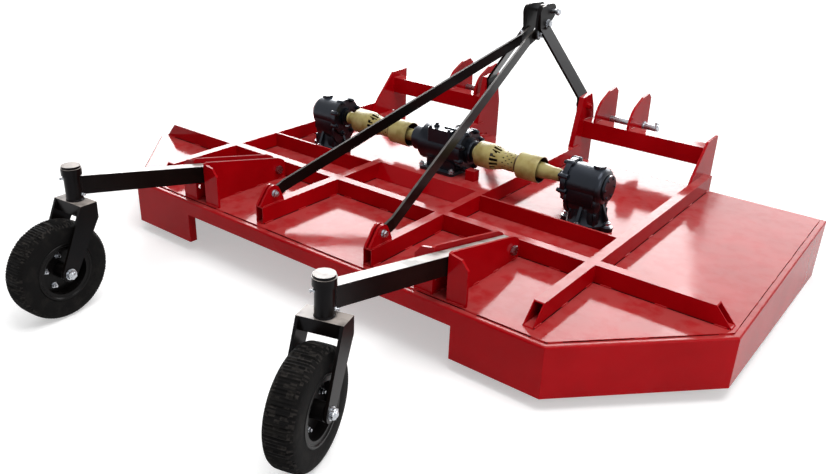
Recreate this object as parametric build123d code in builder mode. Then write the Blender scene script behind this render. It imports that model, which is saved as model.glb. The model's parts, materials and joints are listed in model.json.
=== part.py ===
from build123d import *
import math
import os

# Twin-rotor rotary mower for a tractor's three-point hitch, three metres wide, on two rear casters.
# It is drawn with the deck level: X to the right, Y towards the tractor, Z up from the deck's top
# face, zero at the middle of the rear edge. The last step tips it to the way it parks.

os.makedirs("parts", exist_ok=True)

# Deck and skirts
half_width = 1500
front_half_width = 1480
deck_depth = 1685
rear_corner_x = 1048
side_corner_y = 464
plate = 5
skirt_wall = 6
rim_width = 24
rim_flange = 60
rim_bend = 9
band_depth = 70
front_band_depth = 90
skirt_depth = 200
front_depth = 272
rear_skirt_x = 692
return_flange = 35

# Frame of rectangular tube on the deck
beam_width = 40
beam_height = 70
beam_wall = 4
inner_beam_x = 285
outer_beam_x = 950
inner_beam_rear = 45
inner_beam_front = 1650
outer_beam_rear = 60
outer_beam_rear_top = 123
outer_beam_front = 1677
cross_y = 482
cross_top_x = 1402
cross_foot_x = 1465
front_cross_y = 747
cross_plate = 10
pedestal_slope = 34
pedestal_front = 1105
pedestal_wall = 8

# Headstock: uprights, lower link tubes, ears and pins, mast
outer_upright_wall = 12
inner_upright_x = 272
inner_upright_wall = 26
tube_y = 1670
tube_depth = 80
tube_height = 85
tube_base = 108
tube_wall = 6
ear_wall = 12
inner_ear_x = 359
outer_ear_x = 534
ear_front_y = 1908
link_pin_radius = 18
link_shank_radius = 19
link_collar_radius = 26
link_pin_y = 1854
link_pin_z = 174
link_pin_inner_x = 335
link_pin_outer_x = 618
top_pin_at = (1722, 686)
brace_bolt = (1608, 588)
leg_bend = (1691, 312)
leg_head = (1639, 620)
leg_tab = 90
leg_head_length = 104
clevis_gap = 52
clevis_wall = 12
top_pin_radius = 12.7
leg_width = 84
brace_width = 50
brace_wall = 10
brace_foot = (132, 106)

# Gearboxes, drive line and rotors
rotor_x = 715
rotor_y = 930
drive_z = 180
box_radius = 78
box_flange_radius = 88
box_face_x = 604
box_flange_x = 618
box_drum_x = 640
box_end_x = 785
centre_radius = 84
centre_flange_radius = 92
centre_left_x = 165
centre_right_x = 140
shaft_radius = 18
stub_radius = 20
bore_gap = 0.5
spindle_radius = 25
bell_radius = 57.5
neck_radius = 41
guard_wall = 3
left_guard_x = -545
right_guard_x = 148
rotor_reach = 700
rotor_bar_z = -146
blade_width = 90

# Casters
left_caster_x = -630
right_caster_x = 620
swivel_y = -530
trail = 110
left_caster_yaw = 5
right_caster_yaw = 17
wheel_radius = 184
wheel_width = 100
rim_radius = 104
axle_radius = 10
fork_top = 238
fork_half_width = 75
fork_wall = 10
kingpin_radius = 20
swivel_low = 246.5
swivel_high = 362
arm_width = 50
arm_height = 70
arm_wall = 5
arm_pivot_y = 435
arm_pivot_z = 45
arm_swivel_z = 243.6
bracket_gap = 60
bracket_wall = 10
bracket_flange = 80
bracket_rear = 30
pivot_radius = 12

# Parked: the wheels and the front corners of the side skirts stand on the floor
park_tilt = 0.8
tilt = math.radians(park_tilt)
axle_drop = (deck_depth - swivel_y) * math.tan(tilt) - front_depth + wheel_radius / math.cos(tilt)

pieces = []


def keep(piece, name, seat=Location()):
    """Label a finished piece and note it, moved to its seat on the level machine."""
    placed = piece.moved(seat)
    placed.label = name
    pieces.append(placed)


def inset(corners, distance):
    """The corners of a convex anticlockwise outline, moved inwards by a distance."""
    moved = []
    for i, corner in enumerate(corners):
        here = Vector(*corner)
        after = Vector(*corners[(i + 1) % len(corners)])
        along_in = (here - Vector(*corners[i - 1])).normalized()
        along_out = (after - here).normalized()
        inward_in = Vector(-along_in.Y, along_in.X)
        inward_out = Vector(-along_out.Y, along_out.X)
        middle = (inward_in + inward_out).normalized()
        point = here + middle * (distance / middle.dot(inward_in))
        moved.append((point.X, point.Y))
    return moved


def strip(points, thickness):
    """The closed outline of a bent strip of metal that follows a line of points."""
    sides = ([], [])
    for i, point in enumerate(points):
        here = Vector(*point)
        along_in = (here - Vector(*points[max(i - 1, 0)])).normalized() if i else None
        along_out = (Vector(*points[i + 1]) - here).normalized() if i + 1 < len(points) else along_in
        along_in = along_in or along_out
        normal_in = Vector(-along_in.Y, along_in.X)
        middle = (normal_in + Vector(-along_out.Y, along_out.X)).normalized()
        reach = middle * (thickness / 2 / middle.dot(normal_in))
        sides[0].append((here.X + reach.X, here.Y + reach.Y))
        sides[1].append((here.X - reach.X, here.Y - reach.Y))
    return sides[0] + sides[1][::-1]


def side_plate(name, outline, x_low, thickness, holes=()):
    """A flat plate that stands fore and aft, from its outline in Y and Z and its holes."""
    with BuildPart() as sheet:
        with BuildSketch(Plane.YZ.offset(x_low)):
            Polygon(*outline, align=None)
            for hole_y, hole_z, radius in holes:
                with Locations((hole_y, hole_z)):
                    Circle(radius, mode=Mode.SUBTRACT)
        extrude(amount=thickness)
    keep(sheet.part, name)


# Deck plate, laid on the folded top flange of the skirts
rim = [
    (-rear_corner_x, 0),
    (rear_corner_x, 0),
    (half_width, side_corner_y),
    (front_half_width, deck_depth),
    (-front_half_width, deck_depth),
    (-half_width, side_corner_y),
]
wall_line = inset(rim, skirt_wall)
flange_line = inset(rim, rim_flange)

with BuildPart() as deck:
    with BuildSketch(Plane.XY.offset(-plate)):
        Polygon(*inset(rim, rim_width), align=None)
        with Locations((-rotor_x, rotor_y), (rotor_x, rotor_y)):
            Circle(62, mode=Mode.SUBTRACT)
    extrude(amount=plate)
keep(deck.part, "deck_plate")


def rim_lines(first, last):
    """The rim's outer line, wall line and flange line round some of its corners."""
    return [[line[i % len(line)] for i in range(first, last + 1)] for line in (rim, wall_line, flange_line)]


def skirt(name, lines, depth, front=None, lip_x=None):
    """A folded skirt: a wall under a flange, its outer bend rounded, with a lip turned in at one end."""
    outer, wall, flange = lines
    with BuildPart() as sheet:
        with BuildSketch(Plane.XY.offset(-plate)):
            Polygon(*outer, *wall[::-1], align=None)
        extrude(amount=plate - (front or depth))
        with BuildSketch(Plane.XY.offset(-plate)):
            Polygon(*outer, *flange[::-1], align=None)
        extrude(amount=-skirt_wall)
        middles = [((a[0] + b[0]) / 2, (a[1] + b[1]) / 2, -plate) for a, b in zip(outer, outer[1:])]
        bends = [sheet.edges().sort_by_distance(middle)[0] for middle in middles]
        fillet(bends, radius=rim_bend)
        if front:
            with BuildSketch(Plane.YZ.offset(-half_width - 10)):
                Polygon(
                    (-10, -depth),
                    (side_corner_y, -depth),
                    (deck_depth, -front),
                    (deck_depth, -front - 50),
                    (-10, -front - 50),
                    align=None,
                )
            extrude(amount=2 * half_width + 20, mode=Mode.SUBTRACT)
        if lip_x:
            with BuildSketch(Plane.XY.offset(-plate - skirt_wall)):
                with Locations((lip_x + math.copysign(skirt_wall / 2, lip_x), return_flange / 2)):
                    Rectangle(skirt_wall, return_flange)
            extrude(amount=plate + skirt_wall - depth)
    keep(sheet.part, name)


rear_ends = (0, skirt_wall, rim_flange)
right_lines = [[(rear_skirt_x, y), *line] for line, y in zip(rim_lines(1, 3), rear_ends)]
left_lines = [[*line, (-rear_skirt_x, y)] for line, y in zip(rim_lines(4, 6), rear_ends)]
skirt("right_skirt", right_lines, skirt_depth, front_depth, rear_skirt_x)
skirt("left_skirt", left_lines, skirt_depth, front_depth, -rear_skirt_x)
skirt("rear_band", [[(-rear_skirt_x, y), (rear_skirt_x, y)] for y in rear_ends], band_depth)
skirt("front_band", rim_lines(3, 4), front_band_depth)


def tube_section(width, height, wall):
    """A rectangular tube's section, standing on the sketch plane's origin."""
    Rectangle(width, height, align=(Align.CENTER, Align.MIN))
    with Locations((0, wall)):
        Rectangle(width - 2 * wall, height - 2 * wall, align=(Align.CENTER, Align.MIN), mode=Mode.SUBTRACT)


# Rear cross beam, cut sloping at both ends
cross_middle = cross_y + beam_width / 2
with BuildPart() as cross_beam:
    with BuildSketch(Plane((-cross_foot_x, cross_middle, 0), x_dir=(0, 1, 0), z_dir=(1, 0, 0))):
        tube_section(beam_width, beam_height, beam_wall)
    extrude(amount=2 * cross_foot_x)
    with BuildSketch(Plane.XZ.offset(-cross_y - beam_width)):
        for side in (-1, 1):
            Polygon(
                (side * cross_top_x, beam_height),
                (side * cross_foot_x, 0),
                (side * (cross_foot_x + 5), 0),
                (side * (cross_foot_x + 5), beam_height),
                align=None,
            )
    extrude(amount=beam_width, mode=Mode.SUBTRACT)
keep(cross_beam.part, "rear_cross_beam")

# Four beams fore and aft, each in two lengths that butt against the rear cross beam
beams = {
    "left_outer_beam": (-outer_beam_x, outer_beam_rear, outer_beam_rear_top, outer_beam_front),
    "left_inner_beam": (-inner_beam_x, inner_beam_rear, inner_beam_rear, inner_beam_front),
    "right_inner_beam": (inner_beam_x, inner_beam_rear, inner_beam_rear, inner_beam_front),
    "right_outer_beam": (outer_beam_x, outer_beam_rear, outer_beam_rear_top, outer_beam_front),
}
for name, (beam_x, rear_y, rear_top_y, front_y) in beams.items():
    with BuildPart() as beam:
        for start, end in ((rear_y, cross_y), (cross_y + beam_width, front_y)):
            with BuildSketch(Plane((beam_x, end, 0), x_dir=(1, 0, 0), z_dir=(0, -1, 0))):
                tube_section(beam_width, beam_height, beam_wall)
            extrude(amount=end - start)
        if rear_top_y > rear_y:
            with BuildSketch(Plane.YZ.offset(beam_x - beam_width / 2)):
                Polygon((rear_y, 0), (rear_top_y, beam_height), (rear_y, beam_height), align=None)
            extrude(amount=beam_width, mode=Mode.SUBTRACT)
    keep(beam.part, name)

# Front cross plates in the side bays, and the folded pedestal of the centre gearbox
bay_inner = inner_beam_x + beam_width / 2
bay_outer = outer_beam_x - beam_width / 2
for side, name in ((-1, "left_cross_plate"), (1, "right_cross_plate")):
    with BuildPart() as cross_sheet:
        with BuildSketch(Plane.XZ.offset(-front_cross_y - cross_plate)):
            with Locations((side * (bay_inner + bay_outer) / 2, beam_height / 2)):
                Rectangle(bay_outer - bay_inner, beam_height)
        extrude(amount=cross_plate)
    keep(cross_sheet.part, name)

pedestal_x = inner_beam_x - beam_width / 2
pedestal_line = [
    (front_cross_y, 0),
    (front_cross_y + pedestal_slope, beam_height - pedestal_wall / 2),
    (pedestal_front - pedestal_slope, beam_height - pedestal_wall / 2),
    (pedestal_front, 0),
]
with BuildPart() as pedestal:
    with BuildSketch(Plane.YZ.offset(-pedestal_x)):
        Polygon(*strip(pedestal_line, pedestal_wall), align=None)
        with Locations((front_cross_y + 100, -10)):
            Rectangle(2 * deck_depth, 20, mode=Mode.SUBTRACT)
    extrude(amount=2 * pedestal_x)
    with BuildSketch(Plane.XY.offset(beam_height)):
        with Locations((174, 878)):
            Rectangle(46, 40)
    extrude(amount=46)
keep(pedestal.part, "gearbox_pedestal")

# Uprights at the front ends of the beams; the inner pair stands on its beam and the deck's front edge
outer_upright = [(1470, 0), (1530, 88), (1665, 226), (1788, 229), (1790, -60), (1692, -60), (1692, 0)]
inner_upright = [
    (inner_beam_front - 58, beam_height),
    (1655, 311),
    (1738, 319),
    (1772, 250),
    (1795, 160),
    (1795, -60),
    (1692, -60),
    (1692, 0),
    (inner_beam_front, 0),
    (inner_beam_front, beam_height),
]
inner_upright_end = inner_upright_x + inner_upright_wall
outer_upright_x = bay_outer - outer_upright_wall
side_plate("right_outer_upright", outer_upright, outer_upright_x, outer_upright_wall)
side_plate("left_outer_upright", outer_upright, -bay_outer, outer_upright_wall)
side_plate("right_inner_upright", inner_upright, inner_upright_x, inner_upright_wall)
side_plate("left_inner_upright", inner_upright, -inner_upright_end, inner_upright_wall)

# Lower link tubes, ears and pins
tube_front = tube_y + tube_depth
tube_top = tube_base + tube_height
for side, word in ((-1, "left"), (1, "right")):
    tube_corner = (side * inner_upright_end, tube_y + tube_depth / 2, tube_base)
    tube_plane = Plane(tube_corner, x_dir=(0, 1, 0), z_dir=(1, 0, 0))
    with BuildPart() as link_tube:
        with BuildSketch(tube_plane):
            tube_section(tube_depth, tube_height, tube_wall)
        extrude(amount=side * (outer_upright_x - inner_upright_end))
    keep(link_tube.part, f"{word}_link_tube")

    with BuildPart() as ears:
        for ear_x in (inner_ear_x, outer_ear_x):
            with BuildSketch(Plane.YZ.offset(side * ear_x)):
                with BuildLine():
                    ThreePointArc((tube_y + 2, tube_top), (1688, 252), (1732, 296))
                    Polyline(
                        (1732, 296),
                        (1805, 329),
                        (1871, 338),
                        (1901, 314),
                        (ear_front_y, 134),
                        (ear_front_y - 10, 124),
                        (1766, tube_base - 4),
                        (tube_front, tube_base),
                        (tube_front, tube_top),
                        (tube_y + 2, tube_top),
                    )
                make_face()
                with Locations((link_pin_y, link_pin_z)):
                    Circle(link_shank_radius + 0.1, mode=Mode.SUBTRACT)
            extrude(amount=ear_wall / 2, both=True)
    keep(ears.part, f"{word}_link_ears")

    with BuildPart() as link_pin:
        with BuildSketch(Plane.YZ.offset(side * link_pin_inner_x)):
            with Locations((link_pin_y, link_pin_z)):
                Circle(link_shank_radius)
        extrude(amount=side * (outer_ear_x + ear_wall / 2 - link_pin_inner_x))
        with BuildSketch(Plane.YZ.offset(side * (outer_ear_x + ear_wall / 2))):
            with Locations((link_pin_y, link_pin_z)):
                Circle(link_collar_radius)
        extrude(amount=side * 6)
        with BuildSketch(Plane.YZ.offset(side * (outer_ear_x + ear_wall / 2 + 6))):
            with Locations((link_pin_y, link_pin_z)):
                Circle(link_pin_radius)
        extrude(amount=side * (link_pin_outer_x - outer_ear_x - ear_wall / 2 - 6))
        chamfer(link_pin.faces().sort_by(Axis.X)[-1 if side > 0 else 0].edges(), length=3)
    keep(link_pin.part, f"{word}_link_pin")

# Mast: two bent legs, a clevis for the top link, and two long braces to the rear
clevis_face = clevis_gap / 2
clevis_corners = (((1626, 692), 36), (top_pin_at, 38), ((1661, 636), 36), (brace_bolt, 28))
with BuildPart() as mast_clevis:
    for side in (-1, 1):
        with BuildSketch(Plane.YZ.offset(side * clevis_face)):
            for centre, radius in clevis_corners:
                with Locations(centre):
                    Circle(radius)
            make_hull()
            with Locations(top_pin_at):
                Circle(top_pin_radius + 0.1, mode=Mode.SUBTRACT)
        extrude(amount=side * clevis_wall)
keep(mast_clevis.part, "mast_clevis")

leg_run = Vector(0, leg_head[0] - leg_bend[0], leg_head[1] - leg_bend[1])
lean = leg_run.normalized()
brace_run = Vector(0, brace_bolt[0] - brace_foot[0], brace_bolt[1] - brace_foot[1])
rise = brace_run.normalized()
for side, word in ((-1, "left"), (1, "right")):
    leg_plane = Plane((0, *leg_bend), x_dir=(1, 0, 0), z_dir=(0, -lean.Z, lean.Y))
    foot_x = side * (inner_upright_x - clevis_wall / 2)
    head_x = side * (clevis_face + clevis_wall * 1.5)
    leg_line = [
        (foot_x, -leg_tab),
        (foot_x, 0),
        (head_x, leg_run.length),
        (head_x, leg_run.length + leg_head_length),
    ]
    with BuildPart() as leg:
        with BuildSketch(leg_plane):
            Polygon(*strip(leg_line, clevis_wall), align=None)
        extrude(amount=leg_width / 2, both=True)
        fillet(leg.edges().filter_by(Axis.X).sort_by(Axis.Z)[-2:], radius=34)
    keep(leg.part, f"{word}_mast_leg")

    brace_plane = Plane((0, *brace_foot), x_dir=(1, 0, 0), z_dir=(0, -rise.Z, rise.Y))
    top_x = side * (clevis_face - brace_wall / 2)
    brace_line = [
        (side * inner_beam_x, -28),
        (side * inner_beam_x, 60),
        (top_x, brace_run.length - 70),
        (top_x, brace_run.length + 24),
    ]
    with BuildPart() as brace:
        with BuildSketch(brace_plane):
            Polygon(*strip(brace_line, brace_wall), align=None)
        extrude(amount=brace_width / 2, both=True)
    keep(brace.part, f"{word}_brace")

    with BuildPart() as brace_lugs:
        for lug_x in (inner_beam_x - brace_wall, inner_beam_x + brace_wall):
            with BuildSketch(Plane.YZ.offset(side * lug_x)):
                with Locations((104, beam_height + 4)):
                    Rectangle(124, 8)
                with Locations((112, 112)):
                    Circle(34)
                make_hull()
            extrude(amount=brace_wall / 2, both=True)
    keep(brace_lugs.part, f"{word}_brace_lugs")

with BuildPart() as top_pin:
    with BuildSketch(Plane.YZ.offset(-62)):
        with Locations(top_pin_at):
            Circle(top_pin_radius)
    extrude(amount=136)
keep(top_pin.part, "top_link_pin")


# Side gearboxes: a drum with a bolted flange on a ribbed foot with four lobes
def gearbox(name, side):
    """One side gearbox over its rotor, with blind bores for the drive shaft and the rotor spindle."""
    centre = (side * rotor_x, rotor_y)
    with BuildPart() as box:
        with BuildSketch(Plane.YZ.offset(side * box_drum_x)):
            with Locations((rotor_y, drive_z)):
                Circle(box_radius)
        extrude(amount=side * (box_end_x - box_drum_x))
        fillet(box.faces().sort_by(Axis.X)[-1 if side > 0 else 0].edges(), radius=22)
        with BuildSketch(Plane.XY):
            with Locations(centre):
                Circle(78)
                SlotCenterToCenter(180, 52)
                SlotCenterToCenter(180, 52, rotation=90)
        extrude(amount=18)
        with BuildSketch(Plane.XY.offset(16)):
            with Locations(centre):
                RectangleRounded(140, 140, 40)
        with BuildSketch(Plane.XY.offset(110)):
            with Locations(centre):
                RectangleRounded(118, 112, 30)
        loft()
        with BuildSketch(Plane.XZ.offset(-rotor_y)):
            with Locations((side * rotor_x, 0)):
                Polygon((-108, 12), (108, 12), (54, 130), (-54, 130), align=None)
        extrude(amount=6, both=True)
        with BuildSketch(Plane.YZ.offset(side * rotor_x)):
            with Locations((rotor_y, 0)):
                Polygon((-108, 12), (108, 12), (54, 130), (-54, 130), align=None)
        extrude(amount=6, both=True)
        with BuildSketch(Plane.YZ.offset(side * box_flange_x)):
            with Locations((rotor_y, drive_z)):
                Circle(box_flange_radius)
        extrude(amount=side * (box_drum_x - box_flange_x))
        with BuildSketch(Plane.YZ.offset(side * box_face_x)):
            with Locations((rotor_y, drive_z)):
                Circle(40)
        extrude(amount=side * 20)
        with BuildSketch(Plane.XY.offset(drive_z)):
            with Locations((side * (rotor_x + 28), rotor_y)):
                Circle(26)
        extrude(amount=box_radius + 10)
        with BuildSketch(Plane.XY):
            with Locations(centre):
                Circle(56)
        extrude(amount=-46)
        with BuildSketch(Plane.XY.offset(-46)):
            with Locations(centre):
                Circle(spindle_radius + bore_gap)
        extrude(amount=60, mode=Mode.SUBTRACT)
        with BuildSketch(Plane.YZ.offset(side * box_face_x)):
            with Locations((rotor_y, drive_z)):
                Circle(stub_radius + bore_gap)
        extrude(amount=side * 30, mode=Mode.SUBTRACT)
    keep(box.part, name)


gearbox("left_gearbox", -1)
gearbox("right_gearbox", 1)

# Centre gearbox on its pedestal: a drum across the machine, a cover at its upper rear and a lifting lug
with BuildPart() as centre_box:
    with BuildSketch(Plane.XY.offset(beam_height)):
        with Locations((0, rotor_y)):
            RectangleRounded(190, 190, 20)
    extrude(amount=14)
    with BuildSketch(Plane.XY.offset(beam_height + 12)):
        with Locations((0, rotor_y)):
            RectangleRounded(160, 130, 24)
    extrude(amount=70)
    with BuildSketch(Plane.YZ.offset(-110)):
        with Locations((rotor_y, drive_z)):
            Circle(centre_radius)
    extrude(amount=220)
    with BuildSketch(Plane.YZ.offset(100)):
        with Locations((rotor_y, drive_z)):
            Circle(centre_flange_radius)
    extrude(amount=22)
    with BuildSketch(Plane.YZ.offset(-centre_left_x)):
        with Locations((rotor_y, drive_z)):
            Circle(58)
    extrude(amount=centre_left_x + centre_right_x)
    with BuildSketch(Plane.XY.offset(190)):
        with Locations((0, rotor_y - 42)):
            RectangleRounded(120, 76, 8)
    extrude(amount=78)
    with BuildSketch(Plane.XZ.offset(-rotor_y + 12)):
        with Locations((48, 268)):
            Rectangle(96, 12)
    extrude(amount=24)
    with BuildSketch(Plane.XZ.offset(-rotor_y)):
        with Locations((0, drive_z)):
            Circle(60)
    extrude(amount=-118)
    with BuildSketch(Plane.YZ.offset(-centre_left_x)):
        with Locations((rotor_y, drive_z)):
            Circle(stub_radius + bore_gap)
    extrude(amount=24, mode=Mode.SUBTRACT)
    with BuildSketch(Plane.YZ.offset(centre_right_x)):
        with Locations((rotor_y, drive_z)):
            Circle(stub_radius + bore_gap)
    extrude(amount=-24, mode=Mode.SUBTRACT)
    with BuildSketch(Plane.XZ.offset(-rotor_y - 118)):
        with Locations((0, drive_z)):
            Circle(stub_radius + bore_gap)
    extrude(amount=30, mode=Mode.SUBTRACT)
keep(centre_box.part, "centre_gearbox")


def turned(profile, plane):
    """A turned piece from its half profile of (along, radius) points, spun about the plane's X axis."""
    with BuildPart() as piece:
        with BuildSketch(plane):
            Polygon(*profile, align=None)
        revolve(axis=Axis(plane.origin, plane.x_dir))
    return piece.part


# Input shaft towards the tractor, and the two drive shafts, each a shank between two coned yokes
input_profile = [(0, 0), (0, 20), (30, 20), (30, 17.5), (112, 17.5), (112, 0)]
input_plane = Plane((0, rotor_y + 90, drive_z), x_dir=(0, 1, 0), z_dir=(1, 0, 0))
keep(turned(input_profile, input_plane), "input_shaft")

for side, word, start in ((-1, "left", centre_left_x), (1, "right", centre_right_x)):
    shaft_profile = [
        (start - 22, 0),
        (start - 22, stub_radius),
        (start + 10, stub_radius),
        (start + 10, 38),
        (start + 50, 38),
        (start + 76, shaft_radius),
        (box_face_x - 106, shaft_radius),
        (box_face_x - 80, 38),
        (box_face_x - 14, 38),
        (box_face_x - 14, stub_radius),
        (box_face_x + 28, stub_radius),
        (box_face_x + 28, 0),
    ]
    shaft_plane = Plane((0, rotor_y, drive_z), x_dir=(side, 0, 0), z_dir=(0, side, 0))
    keep(turned(shaft_profile, shaft_plane), f"{word}_drive_shaft")

# Drive shaft guards: two bells and a neck, both with the open bell to the right
guard_line = [
    (0, bell_radius),
    (95, bell_radius),
    (156, neck_radius),
    (222, neck_radius),
    (234, bell_radius),
    (338, bell_radius),
]
for word, guard_x in (("left", left_guard_x), ("right", right_guard_x)):
    guard_plane = Plane((guard_x, rotor_y, drive_z), x_dir=(1, 0, 0), z_dir=(0, 1, 0))
    keep(turned(strip(guard_line, guard_wall), guard_plane), f"{word}_shaft_guard")


# Rotors: spindle, hub and bar with a blade bolted under each end
for side, word in ((-1, "left"), (1, "right")):
    centre = (side * rotor_x, rotor_y)
    with BuildPart() as rotor:
        with BuildSketch(Plane.XY.offset(-52)):
            with Locations(centre):
                Circle(spindle_radius)
        extrude(amount=64)
        with BuildSketch(Plane.XY.offset(rotor_bar_z + 16)):
            with Locations(centre):
                Circle(72)
        extrude(amount=-52 - rotor_bar_z - 16)
        with BuildSketch(Plane.XY.offset(rotor_bar_z)):
            with Locations(centre):
                Rectangle(2 * 540, 110)
                Circle(150)
        extrude(amount=16)
        with BuildSketch(Plane.XY.offset(rotor_bar_z - 12)):
            for way in (-1, 1):
                with Locations((centre[0] + way * (rotor_reach + 430) / 2, centre[1])):
                    Rectangle(rotor_reach - 430, blade_width)
        extrude(amount=12)
        low_edges = rotor.edges().group_by(Axis.Z)[0]
        cutting_edges = low_edges.filter_by(lambda edge: edge.length > 200)
        chamfer(cutting_edges, length=4, length2=14)
    keep(rotor.part, f"{word}_rotor")

# Caster brackets on the rear of the deck: two flanged plates a side, with a pivot bolt
bracket_outline = [
    (bracket_rear, 0),
    (bracket_rear, 178),
    (bracket_rear + 14, 182),
    (440, 98),
    (470, 84),
    (cross_y, 62),
    (cross_y, 0),
]
flange_outline = [(0, 0), (0, 178), (52, 168), (bracket_flange, 136), (bracket_flange, 0)]
adjusting_holes = [(bracket_rear + 22, height, 9) for height in (56, 80)]
for caster_x, word in ((left_caster_x, "left"), (right_caster_x, "right")):
    with BuildPart() as bracket:
        for outward in (-1, 1):
            face_x = caster_x + outward * bracket_gap / 2
            with BuildSketch(Plane.YZ.offset(face_x)):
                Polygon(*bracket_outline, align=None)
                with Locations((arm_pivot_y, arm_pivot_z)):
                    Circle(pivot_radius + 0.1, mode=Mode.SUBTRACT)
                for hole_y, hole_z, radius in adjusting_holes:
                    with Locations((hole_y, hole_z)):
                        Circle(radius, mode=Mode.SUBTRACT)
            extrude(amount=outward * bracket_wall)
            with BuildSketch(Plane.XZ.offset(-bracket_rear - bracket_wall)):
                Polygon(*[(face_x + outward * x, z) for x, z in flange_outline], align=None)
            extrude(amount=bracket_wall)
    keep(bracket.part, f"{word}_caster_bracket")

    with BuildPart() as pivot_bolt:
        with BuildSketch(Plane.YZ.offset(caster_x - 46)):
            with Locations((arm_pivot_y, arm_pivot_z)):
                Circle(pivot_radius)
        extrude(amount=92)
        for face_x in (caster_x - 54, caster_x + 42):
            with BuildSketch(Plane.YZ.offset(face_x)):
                with Locations((arm_pivot_y, arm_pivot_z)):
                    RegularPolygon(20, 6)
            extrude(amount=12)
    keep(pivot_bolt.part, f"{word}_pivot_bolt")

# Caster arms: a square tube that rises to the swivel tube at its rear end
arm_run = Vector(0, swivel_y - arm_pivot_y, arm_swivel_z - arm_pivot_z)
arm_way = arm_run.normalized()
casters = (("left", left_caster_x, left_caster_yaw), ("right", right_caster_x, right_caster_yaw))
for word, caster_x, yaw in casters:
    stand = Location((caster_x, swivel_y, axle_drop), (-park_tilt, 0, 0))
    seat = stand * Location((0, 0, 0), (0, 0, yaw))

    with BuildPart() as swivel_tube:
        with BuildSketch(Plane.XY.offset(swivel_low)):
            Circle(30)
        extrude(amount=swivel_high - swivel_low)
        with BuildSketch(Plane.XY.offset(swivel_high - 26)):
            Circle(36)
        extrude(amount=26)

    arm_plane = Plane((caster_x, arm_pivot_y, arm_pivot_z), x_dir=(1, 0, 0), z_dir=arm_way)
    with BuildPart() as arm:
        with BuildSketch(arm_plane.offset(-34)):
            Rectangle(arm_width, arm_height)
            Rectangle(arm_width - 2 * arm_wall, arm_height - 2 * arm_wall, mode=Mode.SUBTRACT)
        extrude(amount=arm_run.length + 34)
        with BuildSketch(Plane.YZ.offset(caster_x - arm_width / 2)):
            with Locations((arm_pivot_y, arm_pivot_z)):
                Circle(pivot_radius + 10)
        extrude(amount=arm_width)
        with BuildSketch(Plane.YZ.offset(caster_x - arm_width / 2)):
            with Locations((arm_pivot_y, arm_pivot_z)):
                Circle(pivot_radius + 0.05)
        extrude(amount=arm_width, mode=Mode.SUBTRACT)
        add(swivel_tube.part.moved(stand))
        with BuildPart(mode=Mode.PRIVATE) as kingpin_bore:
            with BuildSketch(Plane.XY.offset(swivel_low - 10)):
                Circle(kingpin_radius + bore_gap)
            extrude(amount=swivel_high - swivel_low + 20)
        add(kingpin_bore.part.moved(stand), mode=Mode.SUBTRACT)
    keep(arm.part, f"{word}_caster_arm")

    with BuildPart() as fork:
        with BuildSketch(Plane.XY.offset(fork_top - 16)):
            with Locations((0, 1)):
                Rectangle(2 * fork_half_width, 68)
        extrude(amount=16)
        with BuildSketch(Plane.XY.offset(fork_top - 46)):
            with Locations((0, -28)):
                Rectangle(2 * fork_half_width, 10)
        extrude(amount=46)
        for cheek_x in (-fork_half_width, fork_half_width - fork_wall):
            with BuildSketch(Plane.YZ.offset(cheek_x)):
                with Locations((1, fork_top - 30)):
                    Rectangle(68, 60)
                with Locations((-trail, 0)):
                    Circle(30)
                make_hull()
            extrude(amount=fork_wall)
        with BuildSketch(Plane.XY.offset(fork_top)):
            Circle(28)
        extrude(amount=swivel_low - fork_top - 0.5)
        with BuildSketch(Plane.XY.offset(fork_top)):
            Circle(kingpin_radius)
        extrude(amount=swivel_high + 1 - fork_top)
        with BuildSketch(Plane.XY.offset(swivel_high + 1)):
            Circle(33)
        extrude(amount=8)
        with BuildSketch(Plane.YZ.offset(-fork_half_width - 14)):
            with Locations((-trail, 0)):
                Circle(axle_radius)
        extrude(amount=2 * fork_half_width + 28)
        for face_x in (-fork_half_width - 12, fork_half_width):
            with BuildSketch(Plane.YZ.offset(face_x)):
                with Locations((-trail, 0)):
                    RegularPolygon(17, 6)
            extrude(amount=12)
    keep(fork.part, f"{word}_fork", seat)

    wheel_plane = Plane((0, -trail, 0), x_dir=(1, 0, 0), z_dir=(0, -1, 0))
    half = wheel_width / 2
    shoulder = 16
    with BuildPart() as tyre:
        with BuildSketch(wheel_plane):
            with BuildLine():
                Polyline((-half + 8, rim_radius), (half - 8, rim_radius), (half, rim_radius + 30))
                Line((half, rim_radius + 30), (half, wheel_radius - shoulder))
                ThreePointArc(
                    (half, wheel_radius - shoulder),
                    (half - shoulder * 0.3, wheel_radius - shoulder * 0.3),
                    (half - shoulder, wheel_radius),
                )
                Line((half - shoulder, wheel_radius), (shoulder - half, wheel_radius))
                ThreePointArc(
                    (shoulder - half, wheel_radius),
                    (shoulder * 0.3 - half, wheel_radius - shoulder * 0.3),
                    (-half, wheel_radius - shoulder),
                )
                Polyline(
                    (-half, wheel_radius - shoulder),
                    (-half, rim_radius + 30),
                    (-half + 8, rim_radius),
                )
            make_face()
        revolve(axis=Axis(wheel_plane.origin, wheel_plane.x_dir))
    keep(tyre.part, f"{word}_tyre", seat)

    rim_profile = [
        (-60, axle_radius + 0.05),
        (-60, 28),
        (-12, 28),
        (-12, 86),
        (-half + 4, 86),
        (-half + 4, rim_radius),
        (half - 4, rim_radius),
        (half - 4, 86),
        (12, 86),
        (12, 28),
        (60, 28),
        (60, axle_radius + 0.05),
    ]
    keep(turned(rim_profile, wheel_plane), f"{word}_rim", seat)

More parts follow.
